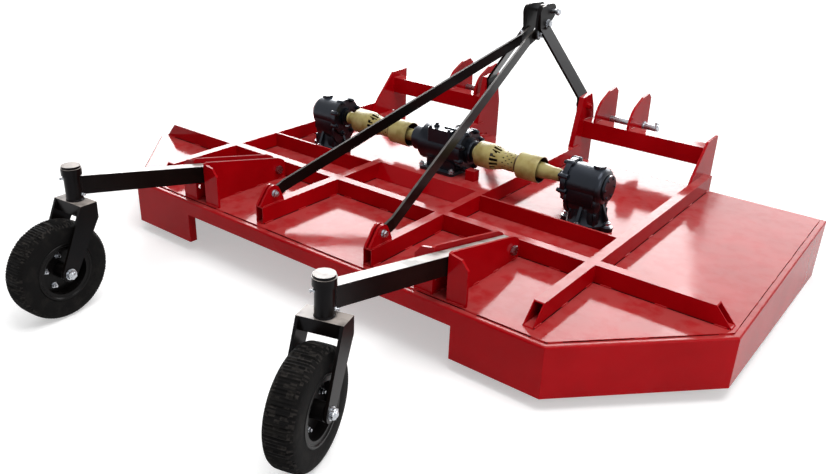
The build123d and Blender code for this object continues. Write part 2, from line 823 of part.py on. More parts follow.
# Tip the level machine to the way it parks, and set the origin on the floor under its middle
tipped = [piece.moved(Location((0, 0, 0), (park_tilt, 0, 0))) for piece in pieces]
boxes = [piece.bounding_box() for piece in tipped]
low = [min(getattr(box.min, letter) for box in boxes) for letter in "XYZ"]
high = [max(getattr(box.max, letter) for box in boxes) for letter in "XYZ"]
shift = Location((-(low[0] + high[0]) / 2, -(low[1] + high[1]) / 2, -low[2]))
print("low", low, "high", high)
print("shift", shift.position)
for piece, source in zip(tipped, pieces):
    placed = piece.moved(shift)
    placed.label = source.label
    export_step(placed, f"parts/{source.label}.step")
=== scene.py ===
"""Finishes, fittings and studio for a twin-rotor slasher mower on two rear casters."""

import json
import logging
import math
import random
from collections.abc import Iterable, Iterator, Sequence
from dataclasses import dataclass
from enum import Enum

import bmesh
import bpy
from mathutils import Matrix, Vector

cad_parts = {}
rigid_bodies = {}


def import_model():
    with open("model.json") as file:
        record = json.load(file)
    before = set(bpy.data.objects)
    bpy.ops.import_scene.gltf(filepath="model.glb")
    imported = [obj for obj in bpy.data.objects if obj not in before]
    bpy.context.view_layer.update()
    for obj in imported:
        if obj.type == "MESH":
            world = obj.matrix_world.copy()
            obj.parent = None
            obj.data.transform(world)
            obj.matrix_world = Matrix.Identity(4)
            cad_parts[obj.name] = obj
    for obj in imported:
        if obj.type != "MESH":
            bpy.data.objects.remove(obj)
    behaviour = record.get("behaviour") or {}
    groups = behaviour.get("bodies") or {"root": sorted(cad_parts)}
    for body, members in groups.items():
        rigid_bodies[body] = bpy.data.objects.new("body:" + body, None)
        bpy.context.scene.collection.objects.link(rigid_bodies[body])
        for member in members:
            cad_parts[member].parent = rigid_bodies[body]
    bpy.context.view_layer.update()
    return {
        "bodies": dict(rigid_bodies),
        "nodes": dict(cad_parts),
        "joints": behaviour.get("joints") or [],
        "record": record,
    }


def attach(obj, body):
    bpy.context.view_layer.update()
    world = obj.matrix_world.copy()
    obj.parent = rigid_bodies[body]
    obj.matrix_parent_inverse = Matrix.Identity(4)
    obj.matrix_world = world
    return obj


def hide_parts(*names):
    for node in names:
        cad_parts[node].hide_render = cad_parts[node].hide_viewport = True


log = logging.getLogger("mower")

Spot = tuple[float, float, float]
Pair = tuple[float, float]
Place = Spot | Vector
Outline = Sequence[Pair]

MM = 0.001
PARK_TILT_DEG = 0.8
PARK_SHIFT = Vector((0.0, -0.540457, 0.248447))
# The drawing's frame, in millimetres: X across, Y forwards and Z up from the deck plate.
DECK = (
    Matrix.Translation(PARK_SHIFT)
    @ Matrix.Rotation(math.radians(PARK_TILT_DEG), 4, "X")
    @ Matrix.Scale(MM, 4)
)
ALONG_X = (1, 0, 0)
AGAINST_X = (-1, 0, 0)
ALONG_Y = (0, 1, 0)
UPWARDS = (0, 0, 1)
DOWNWARDS = (0, 0, -1)
ROTOR_X = 715.0
DRIVE_Y = 930.0
DRIVE_Z = 180.0
MERGE_MM = 0.002
SAME_LEVEL_MM = 0.001
BAND_SHIFT_MM = 0.25
SHARP_DEG = 34.0
WELD_SHARP_DEG = 60.0
WHITE = (1.0, 1.0, 1.0, 1.0)
SEEN_RAYS = ("Is Camera Ray", "Is Glossy Ray", "Is Transmission Ray")


class Slot(Enum):
    """The record's material slots, which pieces take their finish from."""

    RED = "red_enamel"
    BLACK = "black_satin"
    SLATE = "slate_paint"
    OLIVE = "olive_plastic"
    ZINC = "zinc"
    STEEL = "shaft_steel"
    RUBBER = "tyre_rubber"
    RIM = "wheel_rim"


class Worn(Enum):
    """Finishes of worn places and of painted shade, which aren't slots of their own."""

    FRAYED = "frayed_rubber_cord"
    GREASY = "greased_polyethylene"
    GRIME = "seam_grime"


class Side(Enum):
    """The machine's two sides, as the way each lies along X."""

    LEFT = -1
    RIGHT = 1

    @property
    def word(self) -> str:
        """The side's name, as nodes and bodies have it."""
        return self.name.lower()


def srgb(code: str) -> tuple[float, float, float, float]:
    """Turn an sRGB hex colour into the linear colour that a shader takes.

    Args:
        code: Six hex digits, such as "A80A12".

    Returns:
        The linear red, green and blue, with an alpha of one.
    """
    parts = [int(code[i : i + 2], 16) / 255 for i in (0, 2, 4)]
    red, green, blue = (c / 12.92 if c <= 0.04045 else ((c + 0.055) / 1.055) ** 2.4 for c in parts)
    return (red, green, blue, 1.0)


def circle(count: int, radius: float, first_deg: float = 0.0) -> list[Pair]:
    """Space points evenly round a circle.

    Args:
        count: Number of points.
        radius: Radius of the circle.
        first_deg: Angle of the first point.

    Returns:
        The points, along and across.
    """
    angles = [math.radians(first_deg + 360 * i / count) for i in range(count)]
    return [(radius * math.cos(a), radius * math.sin(a)) for a in angles]


def drive_spot(x: float, ahead: float = 0.0, up: float = 0.0) -> Spot:
    """Find a spot by its distance from the drive line's axis.

    Args:
        x: Place across the machine.
        ahead: Distance in front of the axis.
        up: Height over the axis.

    Returns:
        The spot in the drawing's frame.
    """
    return (x, DRIVE_Y + ahead, DRIVE_Z + up)


def in_order(
    faces: Iterable[bmesh.types.BMFace], axis: Spot, steps: int
) -> list[bmesh.types.BMFace]:
    """Sort the faces of a shape turned round X, so that random draws fall alike on every run.

    Args:
        faces: The faces.
        axis: A point on the shape's axis.
        steps: Steps round.

    Returns:
        The faces by place along X, and by step round at each place.
    """

    def place(face: bmesh.types.BMFace) -> Pair:
        """Place one face.

        Args:
            face: The face.

        Returns:
            Its millimetre along the axis and its step round it.
        """
        middle = face.calc_center_median() - Vector(axis)
        turn = math.atan2(middle.z, middle.y) / math.tau
        return math.floor(middle.x + BAND_SHIFT_MM), math.floor(turn * steps)

    return sorted(faces, key=place)


def add_node(
    tree: bpy.types.NodeTree,
    kind: str,
    links: dict[str | int, bpy.types.NodeSocket] | None = None,
    values: dict[str | int, object] | None = None,
    **settings: object,
) -> bpy.types.Node:
    """Add one node with its settings, its fixed input values and its incoming links.

    Args:
        tree: The node tree to add to.
        kind: The node's type name, such as "ShaderNodeTexNoise".
        links: Input socket name or number to the output socket that feeds it.
        values: Input socket name or number to its fixed value.
        **settings: Properties of the node itself.

    Returns:
        The new node.
    """
    node = tree.nodes.new(kind)
    for name, value in settings.items():
        setattr(node, name, value)
    for socket, value in (values or {}).items():
        node.inputs[socket].default_value = value
    for socket, source in (links or {}).items():
        tree.links.new(source, node.inputs[socket])
    return node


class Mixture:
    """A material while it is mixed: its node tree, its shader and the place on the object."""

    def __init__(self, name: str) -> None:
        """Start a material.

        Args:
            name: The finish's name.
        """
        self.material = bpy.data.materials.new(name)
        self.material.use_nodes = True
        self.tree = self.material.node_tree
        self.shader = self.tree.nodes["Principled BSDF"]
        self.where = add_node(self.tree, "ShaderNodeTexCoord").outputs["Object"]

    def patches(
        self, size_mm: float, detail: float, span: Pair, spread: Pair = (0.0, 1.0)
    ) -> bpy.types.NodeSocket:
        """Make soft patches of a real size.

        Args:
            size_mm: Size of a patch.
            detail: Number of finer layers in it.
            span: The part of the noise that is used.
            spread: The strengths that it is spread over.

        Returns:
            The patches' strength.
        """
        noise = add_node(
            self.tree,
            "ShaderNodeTexNoise",
            {"Vector": self.where},
            {"Scale": 1 / (size_mm * MM), "Detail": detail},
        )
        limits = dict(zip(("From Min", "From Max", "To Min", "To Max"), (*span, *spread)))
        reach = add_node(self.tree, "ShaderNodeMapRange", {"Value": noise.outputs["Fac"]}, limits)
        return reach.outputs["Result"]

    def drift(
        self, size_mm: float, detail: float, span: Pair, colours: tuple[str, str]
    ) -> bpy.types.NodeSocket:
        """Let one colour drift into another in soft patches.

        Args:
            size_mm: Size of a patch.
            detail: Number of finer layers in it.
            span: The part of the noise that is used.
            colours: The colour between the patches and that of the patches.

        Returns:
            The mixed colour.
        """
        mixed = add_node(
            self.tree,
            "ShaderNodeMix",
            {"Factor": self.patches(size_mm, detail, span)},
            {"A": srgb(colours[0]), "B": srgb(colours[1])},
            data_type="RGBA",
        )
        return mixed.outputs[2]

    def relief(
        self, size_mm: float, detail: float, strength: float, depth_mm: float
    ) -> bpy.types.NodeSocket:
        """Raise a grain of a real size.

        Args:
            size_mm: Size of a grain.
            detail: Number of finer layers in it.
            strength: How strongly it shows.
            depth_mm: How deep it is at full strength.

        Returns:
            The surface's direction.
        """
        grain = add_node(
            self.tree,
            "ShaderNodeTexNoise",
            {"Vector": self.where},
            {"Scale": 1 / (size_mm * MM), "Detail": detail},
        )
        bump = add_node(
            self.tree,
            "ShaderNodeBump",
            {"Height": grain.outputs["Fac"]},
            {"Strength": strength, "Distance": depth_mm * MM},
        )
        return bump.outputs["Normal"]

    def dress(
        self, links: dict[str, bpy.types.NodeSocket], values: dict[str, object]
    ) -> bpy.types.Material:
        """Feed the shader.

        Args:
            links: Shader socket to what feeds it.
            values: Shader socket to its value where it is the same all over.

        Returns:
            The finished material.
        """
        for name, source in links.items():
            self.tree.links.new(source, self.shader.inputs[name])
        for name, value in values.items():
            self.shader.inputs[name].default_value = value
        return self.material


@dataclass(frozen=True)
class Enamel:
    """Enamel sprayed on steel.

    A smooth clear film over a strong body colour: it mirrors the sky where it is seen at a low
    angle, drifts in colour where the film is thin, and holds fine dust on its upper faces.
    """

    name: str
    base: str
    thin: str
    dust: str
    dust_share: float
    roughness: float
    coat: float
    coat_roughness: float
    coat_ior: float = 1.22
    specular: float = 0.05
    tint: str = "FFFFFF"
    dust_from: float = 0.75
    peel_depth: float = 0.02
    peel_mm: float = 14.0
    drift_mm: float = 180.0
    speck_mm: float = 55.0

    def material(self) -> bpy.types.Material:
        """Build the paint's material.

        Returns:
            The material.
        """
        mixture = Mixture(self.name)
        # Real orange peel is 2 to 5 mm wide, too fine to show, so it is drawn coarser.
        peel = mixture.relief(self.peel_mm, 2.0, self.peel_depth, depth_mm=2.0)
        body = mixture.drift(self.drift_mm, 3.0, (0.35, 0.7), (self.base, self.thin))
        values = {
            "Roughness": self.roughness,
            "Specular IOR Level": self.specular,
            "Specular Tint": srgb(self.tint),
            "Coat Weight": self.coat,
            "Coat Roughness": self.coat_roughness,
            "Coat IOR": self.coat_ior,
        }
        links = {"Base Color": self.dusted(mixture, body), "Normal": peel, "Coat Normal": peel}
        return mixture.dress(links, values)

    def dusted(self, mixture: Mixture, body: bpy.types.NodeSocket) -> bpy.types.NodeSocket:
        """Lay fine dust on the upper faces, thicker in some patches.

        Args:
            mixture: The material that is being mixed.
            body: The paint's own colour.

        Returns:
            The dusted colour.
        """
        tree = mixture.tree
        facing = add_node(tree, "ShaderNodeNewGeometry").outputs["Normal"]
        height = add_node(tree, "ShaderNodeSeparateXYZ", {"Vector": facing}).outputs["Z"]
        limits = {"From Min": self.dust_from, "From Max": 0.99}
        level = add_node(tree, "ShaderNodeMapRange", {"Value": height}, limits).outputs["Result"]
        # Dust grains are far too fine to show, so dust is drawn as patches some centimetres wide.
        cover = mixture.patches(self.speck_mm, 4.0, (0.36, 0.56), (0.45, 1.0))
        film = add_node(tree, "ShaderNodeMath", {0: level, 1: cover}, operation="MULTIPLY")
        share = add_node(
            tree,
            "ShaderNodeMath",
            {0: film.outputs[0]},
            {1: self.dust_share},
            operation="MULTIPLY",
        )
        mixed = add_node(
            tree,
            "ShaderNodeMix",
            {"Factor": share.outputs[0], "A": body},
            {"B": srgb(self.dust)},
            data_type="RGBA",
        )
        return mixed.outputs[2]


@dataclass(frozen=True)
class Metal:
    """Zinc plate or oiled steel, turned or rolled.

    Metal all through: its colour is its reflection, which dull patches break up.
    """

    name: str
    base: str
    dull: str
    roughness: float
    patch_mm: float = 6.0

    def material(self) -> bpy.types.Material:
        """Build the metal's material.

        Returns:
            The material.
        """
        mixture = Mixture(self.name)
        colour = mixture.drift(self.patch_mm, 5.0, (0.0, 1.0), (self.base, self.dull))
        rough = mixture.patches(
            self.patch_mm, 5.0, (0.3, 0.7), (self.roughness * 0.8, self.roughness * 1.4)
        )
        return mixture.dress({"Base Color": colour, "Roughness": rough}, {"Metallic": 1.0})


@dataclass(frozen=True)
class Matt:
    """A matt body with a grain and worn patches, such as moulded plastic, cut rubber and the dark
    finishes of painted shade.
    """

    name: str
    base: str
    worn: str
    roughness: float
    grain_mm: float
    grain_depth: float
    specular: float
    worn_mm: float = 40.0
    worn_from: float = 0.4

    def material(self) -> bpy.types.Material:
        """Build the matt material.

        Returns:
            The material.
        """
        mixture = Mixture(self.name)
        # The real grain is under 1 mm, too fine to show, so it is drawn 3 to 5 mm wide.
        grain = mixture.relief(self.grain_mm, 4.0, self.grain_depth, depth_mm=1.0)
        span = (self.worn_from, self.worn_from + 0.3)
        colour = mixture.drift(self.worn_mm, 5.0, span, (self.base, self.worn))
        values = {"Roughness": self.roughness, "Specular IOR Level": self.specular}
        return mixture.dress({"Base Color": colour, "Normal": grain}, values)


class Finishes:
    """Every finish on the machine, each made once."""

    def __init__(self) -> None:
        """Make the materials, one for each slot, one for the frayed cord ends and one for each
        place of painted shade.
        """
        recipes = {
            # Gloss alkyd enamel, sprayed: deep red upright faces, and upper faces that mirror
            # the sky in long soft waves, because the sheet under it is rolled and welded.
            Slot.RED: Enamel(
                "red_enamel", "9C010A", "AA0510", "E9D3CB", dust_share=0.07, roughness=0.4,
                coat=0.6, coat_roughness=0.11, specular=0.0, peel_depth=0.55, peel_mm=130.0,
            ),
            # Satin enamel, sprayed: nearly black, with a bluish sheen and pale dust on the tops.
            Slot.BLACK: Enamel(
                "black_satin_enamel", "080605", "120D0B", "E4D8D0", dust_share=0.6, roughness=0.3,
                coat=0.14, coat_roughness=0.14, specular=0.08, tint="DDE4F4", dust_from=0.94,
            ),
            # Paint on rough sand castings: blue-black, with a broken sheen on the rounded faces.
            Slot.SLATE: Enamel(
                "slate_casting_paint", "07080A", "0D0F14", "56606E", dust_share=0.2, roughness=0.3,
                coat=0.3, coat_roughness=0.14, specular=0.42, tint="CCD8F0", peel_depth=0.25,
            ),
            # Enamel on a pressed wheel rim: black and a little duller, with grey road dust.
            Slot.RIM: Enamel(
                "rim_black_enamel", "060505", "0E0C0C", "3A3733", dust_share=0.1, roughness=0.45,
                coat=0.4, coat_roughness=0.2,
            ),
            # Moulded polyethylene: a soft olive sheen, with browner patches where oil got on it.
            Slot.OLIVE: Matt("olive_polyethylene", "A89C63", "8B7A40", 0.42, 3.0, 0.12, 0.35),
            # Electroplated bolts: pale grey metal with small cloudy patches.
            Slot.ZINC: Metal("zinc_plated_steel", "C4C7CC", "94979C", roughness=0.26),
            # Turned and rolled steel under oil: dark grey metal with a soft highlight.
            Slot.STEEL: Metal("oiled_steel", "504F50", "2E2D2D", roughness=0.38),
            # Laminations of old tyre rubber, cut and pressed: black, rough and without a sheen.
            Slot.RUBBER: Matt(
                "laminated_rubber", "090808", "1C1A18", 0.8, 4.0, 0.6, 0.1, worn_from=0.5
            ),
            # Cord ends that fray out of the laminations: greyer and rougher than the rubber.
            Worn.FRAYED: Matt(
                Worn.FRAYED.value, "2E2B29", "0C0B0B", 0.9, 5.0, 0.7, 0.1, worn_mm=14.0
            ),
            # Painted shade inside the guards: the polyethylene's inner faces dark brown and dull.
            Worn.GREASY: Matt(Worn.GREASY.value, "4A2F18", "23150B", 0.6, 3.0, 0.2, 0.15),
            # Painted shade along the seams: a thin dark line with no sheen, for the shadow in the
            # gaps between the stitch welds.
            Worn.GRIME: Matt(Worn.GRIME.value, "2A0708", "120405", 0.9, 3.0, 0.3, 0.05),
        }
        self.made = {look: recipe.material() for look, recipe in recipes.items()}

    def of(self, look: Slot | Worn) -> bpy.types.Material:
        """The material of a slot, of the frayed cord ends, and of each place of painted shade."""
        return self.made[look]


@dataclass(frozen=True)
class BoltShape:
    """A bolt's sizes, as shares of its width across the flats."""

    washer_radius: float = 0.72
    washer: float = 0.12
    head: float = 0.6
    head_chamfer: float = 0.05
    shank_radius: float = 0.32
    shank_chamfer: float = 0.04


@dataclass(frozen=True)
class BeadShape:
    """A weld bead's ripples and ends."""

    pitch: float = 9.0
    least_rings: int = 4
    valley: float = 0.82
    end: float = 0.6
    sides: int = 8


@dataclass(frozen=True)
class Stitch:
    """A row of weld beads: the length of each, the gap between them and their radius."""

    bead: float
    gap: float
    radius: float


class Workpiece:
    """One piece while it is worked: a bmesh in millimetres, and the seat that puts it in place."""

    bolt_shape = BoltShape()
    bead_shape = BeadShape()

    def __init__(self, name: str, seat: Matrix = DECK) -> None:
        """Start an empty piece.

        Args:
            name: The piece's name.
            seat: Where its drawing goes in the frame.
        """
        self.name = name
        self.seat = seat
        self.bm = bmesh.new()

    @staticmethod
    def aimed(spot: Place, axis: Place) -> Matrix:
        """A place whose Z runs along an axis.

        Args:
            spot: Where the place is.
            axis: The way its Z runs.

        Returns:
            The place as a matrix.
        """
        turn = Vector(axis).to_track_quat("Z", "Y").to_matrix().to_4x4()
        return Matrix.Translation(Vector(spot)) @ turn

    def rod(
        self,
        radius: float,
        length: float,
        spot: Place,
        axis: Place = UPWARDS,
        sides: int = 24,
        chamfer: float = 0.0,
    ) -> None:
        """Add a rod or prism from a spot along an axis.

        Args:
            radius: Its radius, to the corners.
            length: Length along the axis.
            spot: Middle of the near end.
            axis: The way it runs.
            sides: Number of sides.
            chamfer: Size of the bevel on both end rims.
        """
        made = bmesh.ops.create_cone(
            self.bm,
            cap_ends=True,
            segments=sides,
            radius1=radius,
            radius2=radius,
            depth=length,
            matrix=self.aimed(spot, axis) @ Matrix.Translation((0, 0, length / 2)),
        )
        way = Vector(axis).normalized()
        edges = {edge for vert in made["verts"] for edge in vert.link_edges}
        rims = [
            edge
            for edge in edges
            if abs((edge.verts[1].co - edge.verts[0].co).dot(way)) < SAME_LEVEL_MM
        ]
        self.bevel(rims, chamfer)

    def bevel(self, edges: Iterable[bmesh.types.BMEdge], width: float) -> None:
        """Round some edges off.

        Args:
            edges: The edges to round.
            width: How far back the bevel reaches, or nought for none.
        """
        if width:
            bmesh.ops.bevel(
                self.bm,
                geom=sorted(edges, key=lambda edge: tuple(edge.verts[0].co + edge.verts[1].co)),
                offset=width,
                offset_type="OFFSET",
                segments=2,
                profile=0.5,
                affect="EDGES",
                material=-1,
            )

    def block(
        self, size: Spot, spot: Spot, turn: Matrix | None = None, chamfer: float = 0.8
    ) -> None:
        """Add a block round its middle.

        Args:
            size: Its three lengths.
            spot: Its middle.
            turn: How it is turned.
            chamfer: Size of the bevel on its edges.
        """
        place = Matrix.Translation(Vector(spot)) @ (turn or Matrix())
        shape = Matrix.Diagonal((*size, 1.0))
        made = bmesh.ops.create_cube(self.bm, size=1.0, matrix=place @ shape)
        edges = {edge for vert in made["verts"] for edge in vert.link_edges}
        self.bevel(edges, chamfer)

    def turned(
        self,
        profile: Outline,
        spot: Place,
        axis: Place = UPWARDS,
        steps: int = 48,
        closed: bool = True,
    ) -> None:
        """Spin a half profile all round an axis.

        Args:
            profile: Points of distance along the axis and radius.
            spot: Where the axis starts.
            axis: The way it runs.
            steps: Steps round.
            closed: Whether an open profile is closed first, to its own start or to the axis.
        """
        outline = list(profile)
        first, last = profile[0], profile[-1]
        if closed and first[1] and last[1]:
            outline.append(first)
        elif closed and first[1]:
            outline.insert(0, (first[0], 0.0))
        place = self.aimed(spot, axis)
        line = [self.bm.verts.new(place @ Vector((radius, 0, along))) for along, radius in outline]
        edges = [self.bm.edges.new(pair) for pair in zip(line, line[1:])]
        bmesh.ops.spin(
            self.bm,
            geom=line + edges,
            cent=spot,
            axis=Vector(axis).normalized(),
            dvec=(0, 0, 0),
            angle=math.tau,
            steps=steps,
            use_merge=True,
        )

    def bolt(self, across: float, spot: Spot, axis: Spot, shank: float = 0.0) -> None:
        """Add a hexagon head or nut on a washer, with a shank end standing out of it.

        Args:
            across: Width across the flats.
            spot: Middle of its seat.
            axis: The way it stands out.
            shank: How far the shank stands past the nut.
        """
        shape = self.bolt_shape
        way = Vector(axis).normalized()
        foot = Vector(spot)
        washer = across * shape.washer
        height = across * shape.head
        self.rod(across * shape.washer_radius, washer, foot, axis, sides=20)
        chamfer = across * shape.head_chamfer
        self.rod(across / math.sqrt(3), height, foot + way * washer, axis, 6, chamfer)
        if shank:
            end = foot + way * (washer + height)
            chamfer = across * shape.shank_chamfer
            self.rod(across * shape.shank_radius, shank, end, axis, 12, chamfer)

    def bead(self, start: Place, end: Place, radius: float) -> None:
        """Add one weld bead, a low rippled rod with tapered ends.

        Args:
            start: Where the bead starts.
            end: Where it stops.
            radius: Its radius at the middle.
        """
        shape = self.bead_shape
        run = Vector(end) - Vector(start)
        length = run.length
        rings = max(shape.least_rings, int(length / shape.pitch))
        profile = [(0.0, 0.0)]
        for i in range(rings + 1):
            ripple = 1.0 if i % 2 else shape.valley
            taper = shape.end if i in (0, rings) else 1.0
            profile.append((length * (i + 0.5) / (rings + 1), radius * ripple * taper))
        profile.append((length, 0.0))
        self.turned(profile, start, run, shape.sides)

    def stitches(self, start: Spot, end: Spot, row: Stitch) -> None:
        """Add a row of weld beads from one point to another.

        Args:
            start: Where the row starts.
            end: Where it stops.
            row: Its beads and gaps.
        """
        run = Vector(end) - Vector(start)
        way = run.normalized()
        count = max(1, round((run.length + row.gap) / (row.bead + row.gap)))
        pitch = (run.length - row.bead) / max(1, count - 1)
        for i in range(count):
            near = Vector(start) + way * (pitch * i)
            self.bead(near, near + way * min(row.bead, run.length), row.radius)

    def mesh(self, sharp_deg: float) -> bpy.types.Mesh:
        """Close the piece, put it in its seat, turn its faces outwards and smooth it.

        Args:
            sharp_deg: Edges sharper than this stay sharp.

        Returns:
            The finished mesh.
        """
        bm = self.bm
        bmesh.ops.remove_doubles(bm, verts=bm.verts, dist=MERGE_MM)
        bmesh.ops.transform(bm, matrix=self.seat, verts=bm.verts)
        bmesh.ops.recalc_face_normals(bm, faces=bm.faces)
        for face in bm.faces:
            face.smooth = True
        mesh = bpy.data.meshes.new(self.name)
        bm.to_mesh(mesh)
        bm.free()
        mesh.set_sharp_from_angle(angle=math.radians(sharp_deg))
        return mesh


@dataclass(frozen=True)
class Lamp:
    """A rectangular soft lamp: its place, aim, sides, power in watts and what it lights."""

    name: str
    place: Spot
    aim: Spot
    width: float
    height: float
    power: float
    lights_matt: bool = True
    shows_in_gloss: bool = True

    def build(self) -> None:
        """Hang the lamp."""
        data = bpy.data.lights.new(self.name, "AREA")
        data.shape = "RECTANGLE"
        data.size = self.width
        data.size_y = self.height
        data.energy = self.power
        lamp = bpy.data.objects.new(self.name, data)
        lamp.location = self.place
        way = Vector(self.aim) - Vector(self.place)
        lamp.rotation_euler = way.to_track_quat("-Z", "Y").to_euler()
        lamp.visible_diffuse = self.lights_matt
        lamp.visible_glossy = self.shows_in_gloss
        bpy.context.scene.collection.objects.link(lamp)


@dataclass
class Studio:
    """The white floor, the soft lamps, the white surround and the photograph's camera.

    The panels behind the machine show only in its gloss, which gives the bright upper faces, and
    a fill that shows only on matt surfaces keeps the colours at a plain level.
    """

    camera_place: Spot = (1.98397, -2.493897, 1.569957)
    camera_turn_deg: Spot = (65.4206, -2.3785, 37.848)
    lens_mm: float = 34.983
    sensor_mm: float = 36.0
    far_clip: float = 200.0
    floor_side: float = 60.0
    floor_height: float = -0.0005
    floor_grey: float = 0.8
    floor_lift: Pair = (0.42, 1.0)
    lift_reach: Pair = (2.5, 9.0)
    surround: float = 0.4
    lamps: tuple[Lamp, ...] = (
        Lamp(
            "sky_gloss", (-5.0, 6.4, 3.9), (0.0, 0.2, 0.2), 9.0, 4.6, 2000.0, lights_matt=False
        ),
        Lamp(
            "haze_gloss", (1.5, 8.6, 4.0), (0.0, 0.2, 0.2), 5.6, 5.0, 560.0, lights_matt=False
        ),
        Lamp(
            "sky_fill", (-5.0, 6.4, 3.9), (0.0, 0.2, 0.2), 9.0, 4.6, 380.0, shows_in_gloss=False
        ),
        Lamp("overhead", (1.5, -0.5, 6.0), (0.0, 0.0, 0.0), 4.0, 4.0, 260.0),
        Lamp("right_fill", (6.0, -1.0, 2.5), (0.0, 0.2, 0.3), 3.0, 3.0, 70.0),
    )

    def camera(self) -> None:
        """Make the camera at the photograph's viewpoint."""
        data = bpy.data.cameras.new("camera")
        data.lens = self.lens_mm
        data.sensor_width = self.sensor_mm
        data.clip_end = self.far_clip
        eye = bpy.data.objects.new("camera", data)
        eye.location = self.camera_place
        eye.rotation_euler = [math.radians(a) for a in self.camera_turn_deg]
        bpy.context.scene.collection.objects.link(eye)
        bpy.context.scene.camera = eye

    def seen(self, tree: bpy.types.NodeTree) -> bpy.types.NodeSocket:
        """Tell whether the camera sees a surface, straight, in a reflection or through glass.

        Args:
            tree: The node tree to add to.

        Returns:
            One where it is seen, and nought elsewhere.
        """
        light = add_node(tree, "ShaderNodeLightPath")
        result = light.outputs[SEEN_RAYS[0]]
        for ray in SEEN_RAYS[1:]:
            sockets = {0: result, 1: light.outputs[ray]}
            result = add_node(tree, "ShaderNodeMath", sockets, operation="MAXIMUM").outputs[0]
        return result

    def floor(self) -> None:
        """Lay the white floor, which keeps the machine's shadow and is clear from underneath."""
        bm = bmesh.new()
        bmesh.ops.create_grid(bm, x_segments=1, y_segments=1, size=self.floor_side / 2)
        mesh = bpy.data.meshes.new("floor")
        bm.to_mesh(mesh)
        bm.free()
        floor = bpy.data.objects.new("floor", mesh)
        floor.location.z = self.floor_height
        bpy.context.scene.collection.objects.link(floor)
        mesh.materials.append(self.floor_paint())

    def floor_paint(self) -> bpy.types.Material:
        """Mix matt white paint that glows more with distance, so that it meets the surround.

        Returns:
            The paint.
        """
        mixture = Mixture("white_floor")
        tree = mixture.tree
        reach = add_node(tree, "ShaderNodeVectorMath", {0: mixture.where}, operation="LENGTH")
        (near, far), (least, most) = self.lift_reach, self.floor_lift
        level = add_node(
            tree,
            "ShaderNodeMapRange",
            {"Value": reach.outputs["Value"]},
            {"From Min": near, "From Max": far, "To Min": least, "To Max": most},
        )
        sockets = {0: self.seen(tree), 1: level.outputs["Result"]}
        glow = add_node(tree, "ShaderNodeMath", sockets, operation="MULTIPLY").outputs[0]
        under = add_node(tree, "ShaderNodeNewGeometry").outputs["Backfacing"]
        clear = add_node(tree, "ShaderNodeBsdfTransparent").outputs["BSDF"]
        sockets = {0: under, 1: mixture.shader.outputs["BSDF"], 2: clear}
        both = add_node(tree, "ShaderNodeMixShader", sockets).outputs[0]
        tree.links.new(both, tree.nodes["Material Output"].inputs["Surface"])
        values = {
            "Base Color": (self.floor_grey, self.floor_grey, self.floor_grey, 1.0),
            "Roughness": 0.9,
            "Specular IOR Level": 0.0,
            "Emission Color": WHITE,
        }
        return mixture.dress({"Emission Strength": glow}, values)

    def surround_light(self) -> None:
        """Light the scene from all round, and show white where the camera looks past it."""
        world = bpy.data.worlds.new("surround")
        bpy.context.scene.world = world
        world.use_nodes = True
        tree = world.node_tree
        tree.nodes.clear()
        limits = {"To Min": self.surround, "To Max": 1.0}
        level = add_node(tree, "ShaderNodeMapRange", {"Value": self.seen(tree)}, limits)
        strength = {"Strength": level.outputs["Result"]}
        back = add_node(tree, "ShaderNodeBackground", strength, {"Color": WHITE})
        add_node(tree, "ShaderNodeOutputWorld", {"Surface": back.outputs["Background"]})

    def build(self) -> None:
        """Set the whole studio up."""
        bpy.context.scene.view_settings.view_transform = "Standard"
        self.camera()
        self.floor()
        self.surround_light()
        for lamp in self.lamps:
            lamp.build()


@dataclass
class SubAssembly:
    """Some of the machine's pieces, which share its finishes."""

    finishes: Finishes

    def hang(
        self,
        work: Workpiece,
        slot: Slot,
        body: str = "deck_frame",
        looks: Sequence[Slot | Worn] = (),
        replaced: str = "",
        sharp_deg: float = SHARP_DEG,
    ) -> None:
        """Finish a piece, hang it on its body and dress it.

        Args:
            work: The piece.
            slot: The record's slot that its finish belongs to.
            body: The body that it rides on.
            looks: Its finishes by face number, where they aren't the slot's alone.
            replaced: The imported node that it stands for.
            sharp_deg: Edges sharper than this stay sharp.
        """
        mesh = work.mesh(sharp_deg)
        for look in looks or (slot,):
            mesh.materials.append(self.finishes.of(look))
        piece = bpy.data.objects.new(work.name, mesh)
        bpy.context.scene.collection.objects.link(piece)
        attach(piece, body)
        if replaced:
            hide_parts(replaced)
        log.info("%s: %d faces on %s as %s", work.name, len(mesh.polygons), body, slot.value)


@dataclass
class PackedNodes(SubAssembly):
    """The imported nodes, which keep their shapes and get better finishes."""

    frame: dict

    def build(self) -> None:
        """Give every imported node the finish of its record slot."""
        slots = {row["node"]: row["material_slot"] for row in self.frame["record"]["subparts"]}
        for name, node in self.frame["nodes"].items():
            node.data.materials.clear()
            node.data.materials.append(self.finishes.of(Slot(slots[name])))
            log.info("dressed %s as %s", name, slots[name])


